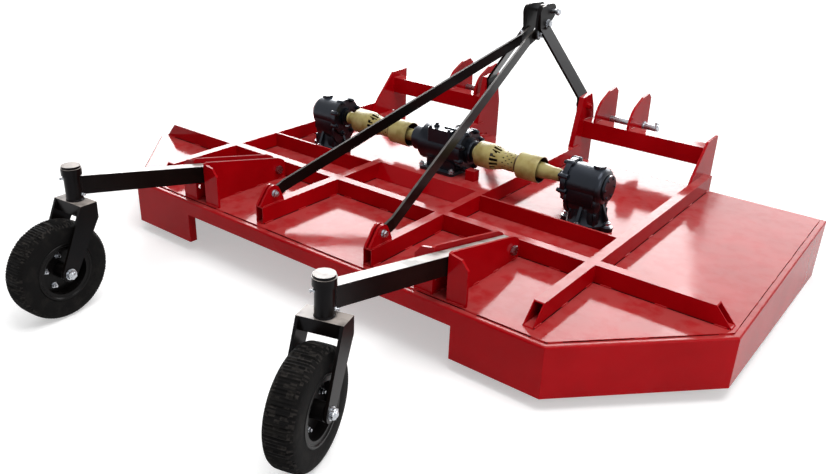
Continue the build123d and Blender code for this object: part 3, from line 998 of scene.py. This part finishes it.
@dataclass
class Deck(SubAssembly):
    """Weld beads at the beams' feet and round the plate's edge, and painted shade strips between
    them.
    """

    corners: Outline = (
        (-1038.0, 24.0),
        (1038.0, 24.0),
        (1475.0, 474.0),
        (1456.0, 1661.0),
        (-1456.0, 1661.0),
        (-1475.0, 474.0),
    )
    beams: tuple[Spot, ...] = (
        (-950.0, 62.0, 1677.0),
        (-285.0, 47.0, 1650.0),
        (285.0, 47.0, 1650.0),
        (950.0, 62.0, 1677.0),
    )
    beam_half: float = 20.0
    cross: Pair = (482.0, 522.0)
    cross_reach: float = 1455.0
    foot_row: Stitch = Stitch(55.0, 150.0, 4.0)
    foot_bead_z: float = 0.5
    edge_row: Stitch = Stitch(60.0, 190.0, 3.0)
    edge_bead_z: float = -4.0
    corner_bead: tuple[float, float, float] = (4.0, 66.0, 3.5)
    # Sizes and places of the dark strips of painted shade along the feet and the plate's edge.
    grime_wide: float = 3.4
    grime_high: float = 2.6
    grime_out: float = 0.6
    edge_grime_high: float = 2.4
    edge_grime_z: float = -3.8

    def feet(self, out: float, clear: float) -> Iterator[Spot]:
        """Go along both sides of every beam's foot, behind and before the rear cross beam.

        Args:
            out: How far out from the foot.
            clear: How far from the cross beam.

        Yields:
            The foot's place across, its rear end and its front end.
        """
        behind, before = self.cross
        for x, rear, front in self.beams:
            for edge in (x - self.beam_half - out, x + self.beam_half + out):
                yield edge, rear, behind - clear
                yield edge, before + clear, front

    def edges(self) -> Iterator[tuple[Pair, Pair]]:
        """Go round the plate's edges, from corner to corner."""
        return zip(self.corners, (*self.corners[1:], self.corners[0]))

    def beam_welds(self) -> None:
        """Lay stitch welds along both sides of every beam's foot."""
        work = Workpiece("deck_beam_welds")
        z = self.foot_bead_z
        for edge, rear, front in self.feet(0.0, 5.0):
            work.stitches((edge, rear, z), (edge, front, z), self.foot_row)
        for y in self.cross:
            work.stitches((-self.cross_reach, y, z), (self.cross_reach, y, z), self.foot_row)
        self.hang(work, Slot.RED, sharp_deg=WELD_SHARP_DEG)

    def seams(self) -> None:
        """Lay dark strips of painted shade between the stitch welds, in a thin line along each
        foot and round the plate's edge.
        """
        work = Workpiece("deck_seam_grime")
        wide, high = self.grime_wide, self.grime_high
        for edge, rear, front in self.feet(self.grime_out, 2.0):
            work.block((wide, front - rear, high), (edge, (rear + front) / 2, high / 2))
        for y in (self.cross[0] - self.grime_out, self.cross[1] + self.grime_out):
            work.block((2 * self.cross_reach, wide, high), (0, y, high / 2))
        for start, end in self.edges():
            run = Vector(end) - Vector(start)
            middle = (Vector(end) + Vector(start)) / 2
            turn = Matrix.Rotation(math.atan2(run.y, run.x), 4, "Z")
            size = (run.length, wide, self.edge_grime_high)
            work.block(size, (*middle, self.edge_grime_z), turn)
        # The strips are painted shade: a dark finish where the gaps between the welds lie in
        # shadow.
        self.hang(work, Slot.RED, looks=(Worn.GRIME,))

    def joint_welds(self) -> None:
        """Run a bead up each corner where a beam butts against the rear cross beam."""
        work = Workpiece("deck_joint_welds")
        low, high, radius = self.corner_bead
        for x, _, _ in self.beams:
            for edge in (x - self.beam_half, x + self.beam_half):
                for y in self.cross:
                    work.bead((edge, y, low), (edge, y, high), radius)
        self.hang(work, Slot.RED, sharp_deg=WELD_SHARP_DEG)

    def plate_welds(self) -> None:
        """Stitch the deck plate's edge to the flange under it."""
        work = Workpiece("deck_plate_welds")
        for start, end in self.edges():
            work.stitches((*start, self.edge_bead_z), (*end, self.edge_bead_z), self.edge_row)
        self.hang(work, Slot.RED, sharp_deg=WELD_SHARP_DEG)

    def build(self) -> None:
        """Lay every weld on the deck, and the strips of painted shade between them."""
        self.beam_welds()
        self.joint_welds()
        self.plate_welds()
        self.seams()


@dataclass
class Headstock(SubAssembly):
    """Welds and linch pins of the uprights, link tubes and ears."""

    upright_faces: Pair = (298.0, 918.0)
    tube_y: Pair = (1670.0, 1750.0)
    tube_z: Pair = (108.0, 193.0)
    ear_faces: tuple[float, ...] = (353.0, 365.0, 528.0, 540.0)
    bead_radius: float = 4.0
    pin: Pair = (1854.0, 174.0)
    pin_x: float = 605.0
    pin_radius: float = 5.0
    pin_length: float = 52.0
    pin_head: Spot = (14.0, 12.0, 12.0)
    ring_radius: float = 19.0
    ring_wire: float = 2.2

    def welds(self) -> None:
        """Bead the tube ends to the uprights, and the ears to the tube."""
        work = Workpiece("headstock_welds")
        rear, front = self.tube_y
        low, high = self.tube_z
        for side in Side:
            for face in self.upright_faces:
                x = side.value * face
                work.bead((x, rear, low), (x, rear, high), self.bead_radius)
                work.bead((x, rear, high), (x, front, high), self.bead_radius)
                work.bead((x, rear, low), (x, front, low), self.bead_radius)
            for face in self.ear_faces:
                x = side.value * face
                work.bead((x, rear + 6, high), (x, front, high), self.bead_radius)
                work.bead((x, front, high - 4), (x, front, low + 4), self.bead_radius)
        self.hang(work, Slot.RED, sharp_deg=WELD_SHARP_DEG)

    def linch_pin(self, side: Side) -> None:
        """Make the linch pin through a lower link pin's free end, with its sprung ring.

        Args:
            side: The side of the machine.
        """
        work = Workpiece(f"{side.word}_linch_pin")
        y, z = self.pin
        x = side.value * self.pin_x
        half = self.pin_length / 2
        work.rod(self.pin_radius, self.pin_length, (x, y, z - half), sides=16, chamfer=1.0)
        work.block(self.pin_head, (x, y, z + half + 1), chamfer=2.0)
        ring = [(across, self.ring_radius + out) for out, across in circle(8, self.ring_wire)]
        work.turned(ring, (x + side.value * 7, y, z + 8), ALONG_X, steps=40)
        self.hang(work, Slot.ZINC)

    def build(self) -> None:
        """Add the headstock's welds and pins."""
        self.welds()
        for side in Side:
            self.linch_pin(side)


@dataclass
class Mast(SubAssembly):
    """Bolts, top link pin and rear lugs of the mast."""

    head_bolt: Pair = (1661.0, 636.0)
    head_face: float = 50.0
    brace_bolt: Pair = (1608.0, 588.0)
    brace_face: float = 38.0
    clevis_flats: float = 28.0
    foot_bolt: Pair = (1701.0, 262.0)
    foot_faces: Pair = (260.0, 298.0)
    foot_flats: float = 26.0
    lug_bolt: Pair = (116.0, 112.0)
    lug_faces: Pair = (270.0, 300.0)
    lug_flats: float = 22.0
    lug_run: Pair = (48.0, 160.0)
    beam_top: float = 71.0
    top_pin: Pair = (1722.0, 686.0)
    pin_head: Outline = ((0, 0), (0, 12), (3, 18), (14, 18), (18, 13), (19, 0))
    pin_collar: Outline = ((-44, 12), (-44, 19), (-39, 19), (-39, 12))

    def bolts(self) -> None:
        """Bolt the legs and braces to the clevis, and the braces to their rear lugs."""
        work = Workpiece("mast_bolts")
        for (y, z), face in ((self.head_bolt, self.head_face), (self.brace_bolt, self.brace_face)):
            work.bolt(self.clevis_flats, (face, y, z), ALONG_X)
            work.bolt(self.clevis_flats, (-face, y, z), AGAINST_X, shank=6.0)
        for side in Side:
            way = side.value
            inner, outer = (way * face for face in self.lug_faces)
            work.bolt(self.lug_flats, (inner, *self.lug_bolt), (-way, 0, 0), shank=5.0)
            work.bolt(self.lug_flats, (outer, *self.lug_bolt), (way, 0, 0))
        self.hang(work, Slot.ZINC)

    def painted_bolts(self) -> None:
        """Bolt the legs to the uprights, all painted over in red."""
        work = Workpiece("mast_foot_bolts")
        for side in Side:
            way = side.value
            inner, outer = (way * face for face in self.foot_faces)
            work.bolt(self.foot_flats, (inner, *self.foot_bolt), (-way, 0, 0))
            work.bolt(self.foot_flats, (outer, *self.foot_bolt), (way, 0, 0), shank=6.0)
        self.hang(work, Slot.RED)

    def top_link_pin_head(self) -> None:
        """Make the top link pin's round head, its stop collar and its linch pin."""
        work = Workpiece("top_link_pin_head")
        y, z = self.top_pin
        work.turned(self.pin_head, (62, y, z), ALONG_X, steps=32)
        work.turned(self.pin_collar, (0, y, z), ALONG_X, steps=32)
        work.rod(4.0, 44.0, (-54, y, z - 22), sides=12, chamfer=1.0)
        self.hang(work, Slot.ZINC)

    def welds(self) -> None:
        """Bead the rear lugs to the beams."""
        work = Workpiece("brace_lug_welds")
        rear, front = self.lug_run
        for side in Side:
            for x in (side.value * face for face in self.lug_faces):
                work.bead((x, rear, self.beam_top), (x, front, self.beam_top), 3.5)
        self.hang(work, Slot.RED, sharp_deg=WELD_SHARP_DEG)

    def build(self) -> None:
        """Add the mast's fittings."""
        self.bolts()
        self.painted_bolts()
        self.top_link_pin_head()
        self.welds()


@dataclass
class Gearboxes(SubAssembly):
    """Bolts, lugs, covers and plugs of the three gearboxes."""

    side_flange_x: Pair = (614.0, 646.0)
    side_end_x: float = 781.0
    side_drum_x: float = 636.0
    side_boss_x: float = 604.0
    side_circle: float = 82.0
    end_cover: Outline = ((16, 0), (16, 54), (6, 54), (4, 50), (4, 0))
    drum: Outline = (
        (0, 40), (0, 76), (16, 76), (16, 70), (118, 70), (134, 62), (142, 46), (142, 30),
    )
    bell: Outline = ((16, 60), (16, 84), (24, 84), (34, 76), (60, 68), (100, 64), (100, 40))
    side_boss: Outline = ((0, 46), (10, 44), (14, 36), (14, 24))
    web: Spot = (34, 12, 60)
    side_rib: Spot = (118, 8, 74)
    foot_circle: float = 92.0
    foot_z: float = 18.0
    pedestal_bolt: float = 82.0
    pedestal_z: float = 84.0
    centre_flange_x: Pair = (98.0, 128.0)
    centre_circle: float = 86.0
    # Each cap of the centre gearbox: its outline, where it sits and the way it faces.
    caps: tuple[tuple[Outline, Spot, Spot], ...] = (
        (((0, 64), (8, 64), (10, 58)), drive_spot(-118.0), AGAINST_X),
        (((0, 50), (10, 48), (14, 40), (14, 24)), drive_spot(-165.0), AGAINST_X),
        (((0, 50), (8, 48), (12, 40), (12, 24)), drive_spot(140.0), ALONG_X),
        (((0, 66), (10, 64), (14, 52), (14, 24)), drive_spot(0.0, ahead=112.0), ALONG_Y),
    )
    plug: Spot = (-36.0, 888.0, 266.0)
    lug_radius: float = 12.0
    flange_flats: float = 16.0

    def side_castings(self, side: Side) -> None:
        """Cast the flange lugs, end cover, drum, bell and webs of a side gearbox.

        Args:
            side: The side of the machine.
        """
        work = Workpiece(f"{side.word}_gearbox_castings")
        way = side.value
        out = (way, 0, 0)
        near, far = self.side_flange_x
        for y, z in circle(8, self.side_circle, 22.5):
            spot = drive_spot(way * near, y, z)
            work.rod(self.lug_radius, far - near, spot, out, chamfer=2.0)
        work.turned(self.end_cover, drive_spot(way * self.side_end_x), out)
        work.turned(self.drum, drive_spot(way * self.side_drum_x, up=-66.0), out)
        for ahead in (-72.0, 72.0):
            work.block(self.side_rib, drive_spot(way * 704, ahead, -32.0), chamfer=3.0)
        work.turned(self.side_boss, drive_spot(way * self.side_boss_x), out)
        work.turned(self.bell, (way * ROTOR_X, DRIVE_Y, 0), steps=64)
        for x, y in circle(4, 66.0, 45.0):
            turn = Matrix.Rotation(math.atan2(y, x), 4, "Z")
            work.block(self.web, (way * ROTOR_X + x, DRIVE_Y + y, 46), turn, chamfer=3.0)
        self.hang(work, Slot.SLATE)

    def side_bolts(self, side: Side) -> None:
        """Bolt a side gearbox's flange and cover.

        Args:
            side: The side of the machine.
        """
        work = Workpiece(f"{side.word}_gearbox_bolts")
        way = side.value
        for y, z in circle(8, self.side_circle, 22.5):
            spot = drive_spot(way * self.side_flange_x[0], y, z)
            work.bolt(self.flange_flats, spot, (-way, 0, 0))
        for y, z in circle(6, 42.0):
            work.bolt(11.0, drive_spot(way * (self.side_end_x + 12), y, z), (way, 0, 0))
        self.hang(work, Slot.SLATE)

    def foot_bolts(self) -> None:
        """Bolt all three gearboxes down."""
        work = Workpiece("gearbox_foot_bolts")
        for side in Side:
            for x, y in circle(4, self.foot_circle):
                spot = (side.value * ROTOR_X + x, DRIVE_Y + y, self.foot_z)
                work.bolt(24.0, spot, UPWARDS, shank=6.0)
        reach = self.pedestal_bolt
        for x in (-reach, reach):
            for y in (-reach, reach):
                work.bolt(20.0, (x, DRIVE_Y + y, self.pedestal_z), UPWARDS, shank=5.0)
        self.hang(work, Slot.ZINC)

    def centre_castings(self) -> None:
        """Cast the centre gearbox's flange lugs, bearing caps, input collar and plug boss."""
        work = Workpiece("centre_gearbox_castings")
        near, far = self.centre_flange_x
        for y, z in circle(8, self.centre_circle, 22.5):
            work.rod(self.lug_radius, far - near, drive_spot(near, y, z), ALONG_X, chamfer=2.0)
        for outline, spot, axis in self.caps:
            work.turned(outline, spot, axis)
        work.rod(14.0, 10.0, self.plug, chamfer=2.0)
        self.hang(work, Slot.SLATE)

    def centre_bolts(self) -> None:
        """Bolt the centre gearbox's flange, cover and input collar, and fit its filler plug."""
        work = Workpiece("centre_gearbox_bolts")
        for y, z in circle(8, self.centre_circle, 22.5):
            work.bolt(self.flange_flats, drive_spot(self.centre_flange_x[1], y, z), ALONG_X)
        for x in (-50.0, 50.0):
            for ahead in (-70.0, -16.0):
                work.bolt(12.0, drive_spot(x, ahead, 88.0), UPWARDS)
        for x, z in circle(4, 58.0, 45.0):
            work.bolt(12.0, drive_spot(x, 122.0, z), ALONG_Y)
        x, y, z = self.plug
        work.bolt(14.0, (x, y, z + 10), UPWARDS)
        self.hang(work, Slot.SLATE)

    def build(self) -> None:
        """Add the castings and bolts of all three gearboxes."""
        for side in Side:
            self.side_castings(side)
            self.side_bolts(side)
        self.centre_castings()
        self.centre_bolts()
        self.foot_bolts()


@dataclass
class DriveShaft(SubAssembly):
    """A drive shaft with its joints and cones, and the vented guard round it.

    It runs from the gearbox face at near to the one at far, along X. Its guard's left end is at
    start, and the guard's left mouth is cut back from there.
    """

    side: Side
    near: float
    far: float
    start: float
    cut_back: float
    bell: float = 57.5
    neck: float = 41.0
    wall: float = 3.0
    steps: int = 48
    mouth: Outline = ((234.0, 53.5), (238.0, 57.5), (335.0, 57.5), (338.0, 55.5))
    cone_x: Pair = (95.0, 156.0)
    cone_rings: int = 5
    neck_end: float = 222.0
    neck_rings: int = 9
    flare: float = 12.0
    slots_x: Pair = (107.0, 144.0)
    slot_share: float = 0.8
    holes_x: Pair = (163.0, 215.0)
    vent_seed: int = 7
    stub: Outline = ((16, 20), (16, 24), (34, 24), (34, 0))
    stub_depths: Pair = (18.0, 24.0)
    shaft_end: Outline = ((82, 0), (82, 24), (100, 24), (106, 18))
    cross_x: float = 58.0
    cone: Outline = (
        (-136, 33), (-132, 35), (-112, 34), (-72, 29),
        (-64, 28), (-30, 27.5), (-26, 25), (-26, 21),
    )
    collar: Outline = (
        (8, 21), (8, 27), (13, 30), (17, 27), (23, 27), (27, 30), (48, 31), (70, 40), (76, 40),
        (76, 37), (70, 37), (48, 28), (20, 24),
    )

    def guard(self) -> None:
        """Spin the guard from its profile, cut its vents and give it its wall."""
        work = Workpiece(f"{self.side.word}_vented_guard")
        bell, neck, cut = self.bell, self.neck, self.cut_back
        near, far = self.cone_x
        profile = [(cut, bell - 2), (cut + 3, bell), (88, bell)]
        for i in range(self.cone_rings + 1):
            share = i / self.cone_rings
            profile.append((near + (far - near) * share, bell + (neck - bell) * share))
        pitch = (self.neck_end - far) / self.neck_rings
        profile += [(far + pitch * i, neck) for i in range(1, self.neck_rings + 1)]
        profile += self.mouth
        work.turned(profile, drive_spot(self.start), ALONG_X, self.steps, closed=False)
        bm = work.bm
        bmesh.ops.remove_doubles(bm, verts=bm.verts, dist=0.01)
        bmesh.ops.recalc_face_normals(bm, faces=bm.faces)
        bmesh.ops.delete(bm, geom=self.vents(bm, pitch), context="FACES")
        bmesh.ops.solidify(bm, geom=bm.faces[:], thickness=self.wall)
        bm.normal_update()
        # The inner faces take a dark brown finish: painted shade inside the guard.
        for face in bm.faces:
            out = face.calc_center_median() - Vector(drive_spot(self.start))
            inside = math.hypot(out.y, out.z) < self.mid_wall(out.x)
            face.material_index = 1 if inside else 0
        looks = (Slot.OLIVE, Worn.GREASY)
        replaced = f"{self.side.word}_shaft_guard"
        self.hang(work, Slot.OLIVE, looks=looks, replaced=replaced)

    def vents(self, bm: bmesh.types.BMesh, pitch: float) -> list[bmesh.types.BMFace]:
        """Choose the faces that are cut out: slots round the cone and holes round the neck.

        Args:
            bm: The guard's skin.
            pitch: Distance between the neck's rings of faces.

        Returns:
            The faces.
        """
        draw = random.Random(self.vent_seed)
        gone = []
        for face in in_order(bm.faces, drive_spot(self.start), self.steps):
            middle = face.calc_center_median()
            along = middle.x - self.start
            turn = math.atan2(middle.z - DRIVE_Z, middle.y - DRIVE_Y)
            step = round((turn + math.pi) / math.tau * self.steps - 0.5)
            in_cone = self.slots_x[0] < along < self.slots_x[1]
            slot = in_cone and step % 3 and draw.random() < self.slot_share
            ring = int((along - self.cone_x[1]) // pitch)
            in_neck = self.holes_x[0] < along < self.holes_x[1]
            hole = in_neck and ring % 2 and (step + ring) % 4 == 0
            if slot or hole:
                gone.append(face)
        return gone

    def mid_wall(self, along: float) -> float:
        """Find the radius of the middle of the guard's wall.

        Args:
            along: Distance from the guard's left end.

        Returns:
            The radius.
        """
        near, far = self.cone_x
        share = min(1.0, max(0.0, (along - near) / (far - near)))
        rise = min(1.0, max(0.0, (along - self.neck_end) / self.flare))
        chord = math.cos(math.pi / self.steps)
        return (self.bell + (self.neck - self.bell) * (share - rise) - self.wall / 2) * chord

    def shaft(self) -> None:
        """Make the drive shaft with its stub ends, yokes and crosses."""
        work = Workpiece(f"{self.side.word}_jointed_shaft")
        axis = drive_spot(0.0)
        ends = ((self.near, 1), (self.far, -1))
        for (end, way), depth in zip(ends, self.stub_depths):
            stub = ((-depth, 0), (-depth, 20), *self.stub)
            outline = [(end + way * along, radius) for along, radius in stub]
            work.turned(outline[::way], axis, ALONG_X, steps=32)
        middle = [(self.near + along, radius) for along, radius in self.shaft_end]
        middle += [(self.far - along, radius) for along, radius in self.shaft_end[::-1]]
        work.turned(middle, axis, ALONG_X, steps=32)
        for end, way in ends:
            x = end + way * self.cross_x
            for turn in (-18.0, 18.0):
                work.block((44, 20, 7), drive_spot(x - way * 12, up=turn), chamfer=2.0)
                work.block((44, 7, 20), drive_spot(x + way * 12, ahead=turn), chamfer=2.0)
            work.rod(7.0, 46.0, drive_spot(x, up=-23.0), UPWARDS, sides=20, chamfer=1.5)
            work.rod(7.0, 46.0, drive_spot(x, ahead=-23.0), ALONG_Y, sides=20, chamfer=1.5)
        self.hang(work, Slot.STEEL, self.body, replaced=self.body)

    def cones(self) -> None:
        """Make the inner cone in the guard's open bell and the collar at its closed end."""
        work = Workpiece(f"{self.side.word}_joint_cones")
        inner = [(along + 1, radius - 3) for along, radius in self.cone[:-1]]
        work.turned((*self.cone, *inner[::-1]), drive_spot(self.far), ALONG_X)
        work.turned(self.collar, drive_spot(self.near), ALONG_X)
        self.hang(work, Slot.OLIVE, self.body, sharp_deg=50.0)

    @property
    def body(self) -> str:
        """The body that the shaft turns as."""
        return f"{self.side.word}_drive_shaft"

    def build(self) -> None:
        """Add the shaft, its cones and its guard."""
        self.shaft()
        self.cones()
        self.guard()


@dataclass
class Caster(SubAssembly):
    """One caster's laminated tyre, rim bolts, axle nuts and fork fittings, about its axle."""

    side: Side
    axle: Matrix
    wheel_radius: float = 184.0
    tyre_half: float = 50.0
    rim_radius: float = 104.0
    steps: int = 216
    groove: float = 6.0
    groove_shares: Pair = (0.25, 1.0)
    tread_deep: float = 10.0
    fray_deep: float = 12.0
    fray_share: float = 0.3
    rim_bead: Outline = ((40, 98), (46, 98), (50, 102), (50, 108), (47, 110), (44, 106), (40, 104))
    dust_cap: Outline = ((52, 29), (60, 29), (63, 24), (63, 14), (58, 12))
    axle_tip: Outline = ((89, 11), (93, 9), (95, 5), (96, 0))
    kingpin_weld: Outline = ((-3, 28), (0, 32), (5, 30), (7, 27))
    trail: float = 110.0

    def tyre(self) -> None:
        """Spin the laminated tyre and press the gaps between its laminations."""
        work = Workpiece(f"{self.side.word}_laminated_tyre", self.axle)
        r, h, rim = self.wheel_radius, self.tyre_half, self.rim_radius
        half = [(h - 9, rim), (h - 2, rim + 7), (h, r - 52), (h, r - 26), (h - 3, r - 14)]
        half += [(h - 9, r - 6), (h - 17, r - 1.5), (h - 22, r - 0.6), (8, r)]
        mirrored = [(-across, radius) for across, radius in half]
        work.turned(mirrored + half[::-1], (0, 0, 0), ALONG_X, self.steps)
        draw = random.Random(11 + self.side.value)
        depths = [draw.uniform(*self.groove_shares) * self.groove for _ in range(self.steps)]
        for vert in work.bm.verts:
            out = Vector((0, vert.co.y, vert.co.z))
            step = round(math.atan2(out.z, out.y) / math.tau * self.steps) % self.steps
            if out.length > r - self.tread_deep and step % 2 == 0:
                vert.co -= out.normalized() * depths[step]
        for face in in_order(work.bm.faces, (0.0, 0.0, 0.0), self.steps):
            middle = face.calc_center_median()
            on_tread = math.hypot(middle.y, middle.z) > r - self.fray_deep
            frayed = on_tread and draw.random() < self.fray_share
            face.material_index = 1 if frayed else 0
        looks = (Slot.RUBBER, Worn.FRAYED)
        replaced = f"{self.side.word}_tyre"
        self.hang(work, Slot.RUBBER, self.wheel, looks, replaced, sharp_deg=30.0)

    def rim_beads(self) -> None:
        """Turn the rolled bead at each edge of the rim, and the hub's dust caps."""
        work = Workpiece(f"{self.side.word}_rim_beads", self.axle)
        for way in (-1, 1):
            work.turned(self.rim_bead, (0, 0, 0), (way, 0, 0), steps=64)
            work.turned(self.dust_cap, (0, 0, 0), (way, 0, 0), steps=32)
        self.hang(work, Slot.RIM, self.wheel)

    def rim_bolts(self) -> None:
        """Bolt the rim's two halves together round the hub."""
        work = Workpiece(f"{self.side.word}_rim_bolts", self.axle)
        for y, z in circle(5, 60.0, 21.6):
            work.bolt(15.0, (12, y, z), ALONG_X, shank=7.0)
            work.bolt(15.0, (-12, y, z), AGAINST_X)
        self.hang(work, Slot.ZINC, self.wheel)

    def axle_nuts(self) -> None:
        """Put a washer, a nut and the axle's tip at each end."""
        work = Workpiece(f"{self.side.word}_axle_nuts", self.axle)
        for way in (-1, 1):
            out = (way, 0, 0)
            work.rod(21.0, 3.0, (way * 75, 0, 0), out, sides=28)
            work.rod(18.6, 11.0, (way * 78, 0, 0), out, sides=6, chamfer=1.5)
            work.turned(self.axle_tip, (0, 0, 0), out, steps=24)
        self.hang(work, Slot.ZINC, self.fork)

    def fork_welds(self) -> None:
        """Bead the fork's crown to its cheeks and round the kingpin."""
        work = Workpiece(f"{self.side.word}_fork_welds", self.axle)
        y = self.trail
        for x in (-1, 1):
            work.bead((x * 65, y - 30, 192), (x * 65, y + 32, 222), 4.0)
            work.bead((x * 66, y - 34, 196), (x * 66, y - 34, 236), 3.5)
        work.turned(self.kingpin_weld, (0, y, 240), steps=32)
        self.hang(work, Slot.BLACK, self.fork, sharp_deg=WELD_SHARP_DEG)

    @property
    def wheel(self) -> str:
        """The wheel's body."""
        return f"{self.side.word}_wheel"

    @property
    def fork(self) -> str:
        """The fork's body."""
        return f"{self.side.word}_caster_fork"

    def build(self) -> None:
        """Add everything that this caster's wheel and fork carry."""
        self.tyre()
        self.rim_beads()
        self.rim_bolts()
        self.axle_nuts()
        self.fork_welds()


@dataclass
class ArmFittings(SubAssembly):
    """Welds and grease points of a caster arm and its bracket."""

    side: Side
    caster_x: float
    swivel: Matrix
    tube_radius: float = 29.0
    nipple: Outline = ((5, 4), (9, 3.4), (11, 5), (14, 4), (15, 0))
    # Each grease point: the way it faces, across and ahead, and its height over the axle.
    points: tuple[Spot, ...] = ((0.86, 0.5, 262.0), (-0.5, -0.86, 322.0))
    plate_row: Stitch = Stitch(50.0, 60.0, 4.0)

    def grease_points(self) -> None:
        """Screw a grease nipple into the swivel tube's foot and head."""
        work = Workpiece(f"{self.side.word}_grease_points", self.swivel)
        for x, y, height in self.points:
            spot = (self.tube_radius * x, self.tube_radius * y, height)
            work.rod(6.5, 5.0, spot, (x, y, 0), sides=6, chamfer=0.6)
            work.turned(self.nipple, spot, (x, y, 0), steps=16)
        self.hang(work, Slot.ZINC, self.arm)

    def tube_welds(self) -> None:
        """Bead the arm to its swivel tube."""
        work = Workpiece(f"{self.side.word}_swivel_welds", self.swivel)
        for x in (-25.0, 25.0):
            work.bead((x, 17, 272), (x, 17, 340), 4.0)
        self.hang(work, Slot.BLACK, self.arm, sharp_deg=WELD_SHARP_DEG)

    def bracket_welds(self) -> None:
        """Bead the bracket's plates and flanges to the deck."""
        work = Workpiece(f"{self.side.word}_bracket_welds")
        for way in (-1, 1):
            for offset in (30, 40):
                x = self.caster_x + way * offset
                work.stitches((x, 44, 1), (x, 478, 1), self.plate_row)
            near, far = self.caster_x + way * 32, self.caster_x + way * 108
            for y in (41, 29):
                work.bead((near, y, 1), (far, y, 1), 3.5)
        self.hang(work, Slot.RED, sharp_deg=WELD_SHARP_DEG)

    @property
    def arm(self) -> str:
        """The arm's body."""
        return f"{self.side.word}_caster_arm"

    def build(self) -> None:
        """Add the arm's and the bracket's fittings."""
        self.grease_points()
        self.tube_welds()
        self.bracket_welds()


@dataclass
class Rotor(SubAssembly):
    """Blade bolts, hub bolts and bearing flange of one rotor."""

    side: Side
    bar_z: Pair = (-146.0, -130.0)
    blade: float = 12.0
    blade_bolts: Pair = (460.0, 512.0)
    flange: Outline = (
        (-5, 57), (-5, 104), (-7, 106), (-16, 106), (-18, 104), (-18, 72), (-38, 64), (-38, 57),
    )

    def bolts(self) -> None:
        """Bolt the two blades under the bar, and the bar to its spindle."""
        work = Workpiece(f"{self.side.word}_blade_bolts")
        x = self.side.value * ROTOR_X
        low, top = self.bar_z
        for way in (-1, 1):
            for reach in (way * bolt for bolt in self.blade_bolts):
                work.bolt(30.0, (x + reach, DRIVE_Y, low - self.blade), DOWNWARDS)
                work.bolt(30.0, (x + reach, DRIVE_Y, top), UPWARDS, shank=6.0)
        work.bolt(55.0, (x, DRIVE_Y, low), DOWNWARDS, shank=8.0)
        for across, ahead in circle(6, 110.0):
            work.bolt(24.0, (x + across, DRIVE_Y + ahead, low), DOWNWARDS)
        self.hang(work, Slot.STEEL, f"{self.side.word}_rotor")

    def bearing_flange(self) -> None:
        """Turn the bearing flange under the deck, with its bolts."""
        work = Workpiece(f"{self.side.word}_bearing_flange")
        x = self.side.value * ROTOR_X
        work.turned(self.flange, (x, DRIVE_Y, 0), steps=64)
        for across, ahead in circle(8, 90.0, 22.5):
            work.bolt(16.0, (x + across, DRIVE_Y + ahead, -18), DOWNWARDS)
        self.hang(work, Slot.SLATE)

    def build(self) -> None:
        """Add the rotor's bolts and its bearing flange."""
        self.bolts()
        self.bearing_flange()


def axle_seat(joint: dict) -> Matrix:
    """Seat a caster wheel from its joint: X along the axle and Z up, in millimetres.

    Args:
        joint: The wheel's joint from the record.

    Returns:
        The seat as a matrix.
    """
    along = Vector(joint["axis"]).normalized()
    up = Vector(UPWARDS)
    turn = Matrix((along, up.cross(along), up)).transposed().to_4x4()
    return Matrix.Translation(Vector(joint["pos_m"])) @ turn @ Matrix.Scale(MM, 4)


def main() -> None:
    """Build the studio, dress the frame and add the fittings."""
    logging.basicConfig(level=logging.INFO, format="%(name)s %(message)s")
    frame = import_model()
    Studio().build()
    finishes = Finishes()
    PackedNodes(finishes, frame).build()
    for kind in (Deck, Headstock, Mast, Gearboxes):
        kind(finishes).build()
    DriveShaft(finishes, Side.LEFT, near=-604.0, far=-165.0, start=-545.0, cut_back=8.0).build()
    DriveShaft(finishes, Side.RIGHT, near=140.0, far=604.0, start=148.0, cut_back=27.0).build()
    joints = {joint["name"]: joint for joint in frame["joints"]}
    for side in Side:
        wheel = joints[f"{side.word}_wheel_roll"]
        swivel = joints[f"{side.word}_caster_swivel"]["pos_m"]
        hinge = joints[f"{side.word}_arm_hinge"]["pos_m"]
        foot = Matrix.Translation((swivel[0], swivel[1], wheel["pos_m"][2])) @ Matrix.Scale(MM, 4)
        Caster(finishes, side, axle_seat(wheel)).build()
        ArmFittings(finishes, side, hinge[0] / MM, foot).build()
        Rotor(finishes, side).build()


if __name__ == "__main__":
    main()
